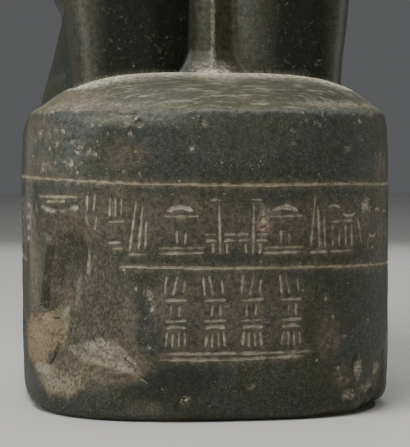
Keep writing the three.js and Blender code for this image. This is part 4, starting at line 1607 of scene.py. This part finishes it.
def add_camera():
    """The camera at the photograph's viewing angle."""
    front = Vector((0, -BASE_DEPTH / 2, 0))
    back = Vector((math.sin(CAMERA_AZIMUTH), -math.cos(CAMERA_AZIMUTH), 0))
    aside = Vector((math.cos(CAMERA_AZIMUTH), math.sin(CAMERA_AZIMUTH), 0))
    place = (front + back * CAMERA_DISTANCE + Vector((0, 0, CAMERA_HEIGHT))) * MM
    aim = (front + aside * AIM_ASIDE + Vector((0, 0, AIM_HEIGHT))) * MM
    data = bpy.data.cameras.new("camera")
    data.lens = LENS
    data.sensor_width = 36
    data.clip_start = 0.02
    data.clip_end = 40
    camera = bpy.data.objects.new("camera", data)
    bpy.context.scene.collection.objects.link(camera)
    camera.location = place
    camera.rotation_euler = (aim - place).to_track_quat("-Z", "Y").to_euler()
    bpy.context.scene.camera = camera


# name, place and aim in millimetres, width and height in millimetres, watts, colour
LAMPS = (
    ("high left", (-420, -560, 1350), (0, -60, 150), (700, 700), 14.5, (1, 0.985, 0.95)),
    ("left edge", (-1180, -420, 420), (-40, -60, 170), (350, 900), 5.5, (0.95, 0.98, 1)),
    ("right edge", (1250, 60, 420), (60, -40, 150), (350, 900), 3, (1, 0.98, 0.95)),
    ("front", (-250, -1500, 900), (0, 0, 150), (900, 900), 3.2, (1, 1, 1)),
    ("back", (300, 1500, 900), (0, 0, 250), (900, 900), 6, (1, 1, 1)),
    ("overhead", (0, 0, 4200), (0, 0, 0), (7000, 7000), 36, (1, 1, 1)),
)


def add_lamp(name, place, aim, size, power, colour):
    """A soft lamp."""
    data = bpy.data.lights.new(name, "AREA")
    data.shape = "RECTANGLE"
    data.size, data.size_y = (side * MM for side in size)
    data.energy = power
    data.color = colour
    lamp = bpy.data.objects.new(name, data)
    bpy.context.scene.collection.objects.link(lamp)
    lamp.location = Vector(place) * MM
    lamp.rotation_euler = (Vector(aim) - Vector(place)).to_track_quat("-Z", "Y").to_euler()


def add_floor(colour):
    """A wide plain floor."""
    half = 6000 * MM
    mesh = bpy.data.meshes.new("floor")
    mesh.from_pydata(
        [(-half, -half, 0), (half, -half, 0), (half, half, 0), (-half, half, 0)], [], [(0, 1, 2, 3)]
    )
    mesh.materials.append(plain_material("pale floor", colour, 0.75))
    floor = bpy.data.objects.new("floor", mesh)
    bpy.context.scene.collection.objects.link(floor)


def add_studio_light():
    """The even light of the room around."""
    world = bpy.data.worlds.new("studio")
    bpy.context.scene.world = world
    world.use_nodes = True
    backdrop = world.node_tree.nodes["Background"]
    backdrop.inputs["Color"].default_value = (0.86, 0.88, 0.9, 1)
    backdrop.inputs["Strength"].default_value = 0.12


class STATUE_OT_stage(bpy.types.Operator):
    """Add the floor, the soft lights and the camera"""

    bl_idname = "statue.stage"
    bl_label = "Add the stage"

    def execute(self, context):
        add_floor(context.scene.statue_finish.floor)
        add_studio_light()
        for lamp in LAMPS:
            add_lamp(*lamp)
        add_camera()
        return {"FINISHED"}


class STATUE_PT_panel(bpy.types.Panel):
    """The statue's tools in the sidebar"""

    bl_idname = "STATUE_PT_panel"
    bl_label = "Naophorous statue"
    bl_space_type = "VIEW_3D"
    bl_region_type = "UI"
    bl_category = "Statue"

    def draw(self, context):
        for group in (context.scene.statue_sizes, context.scene.statue_finish):
            for name in group.bl_rna.properties.keys():
                if name not in ("rna_type", "name"):
                    self.layout.prop(group, name)
        self.layout.operator(STATUE_OT_carve.bl_idname)
        self.layout.operator(STATUE_OT_stage.bl_idname)


CLASSES = (StatueSizes, StatueFinish, STATUE_OT_carve, STATUE_OT_stage, STATUE_PT_panel)


def register():
    for cls in CLASSES:
        bpy.utils.register_class(cls)
    bpy.types.Scene.statue_sizes = bpy.props.PointerProperty(type=StatueSizes)
    bpy.types.Scene.statue_finish = bpy.props.PointerProperty(type=StatueFinish)


def unregister():
    del bpy.types.Scene.statue_finish
    del bpy.types.Scene.statue_sizes
    for cls in reversed(CLASSES):
        bpy.utils.unregister_class(cls)


def main():
    register()
    bpy.ops.statue.carve()
    bpy.ops.statue.stage()


if __name__ == "__main__":
    main()
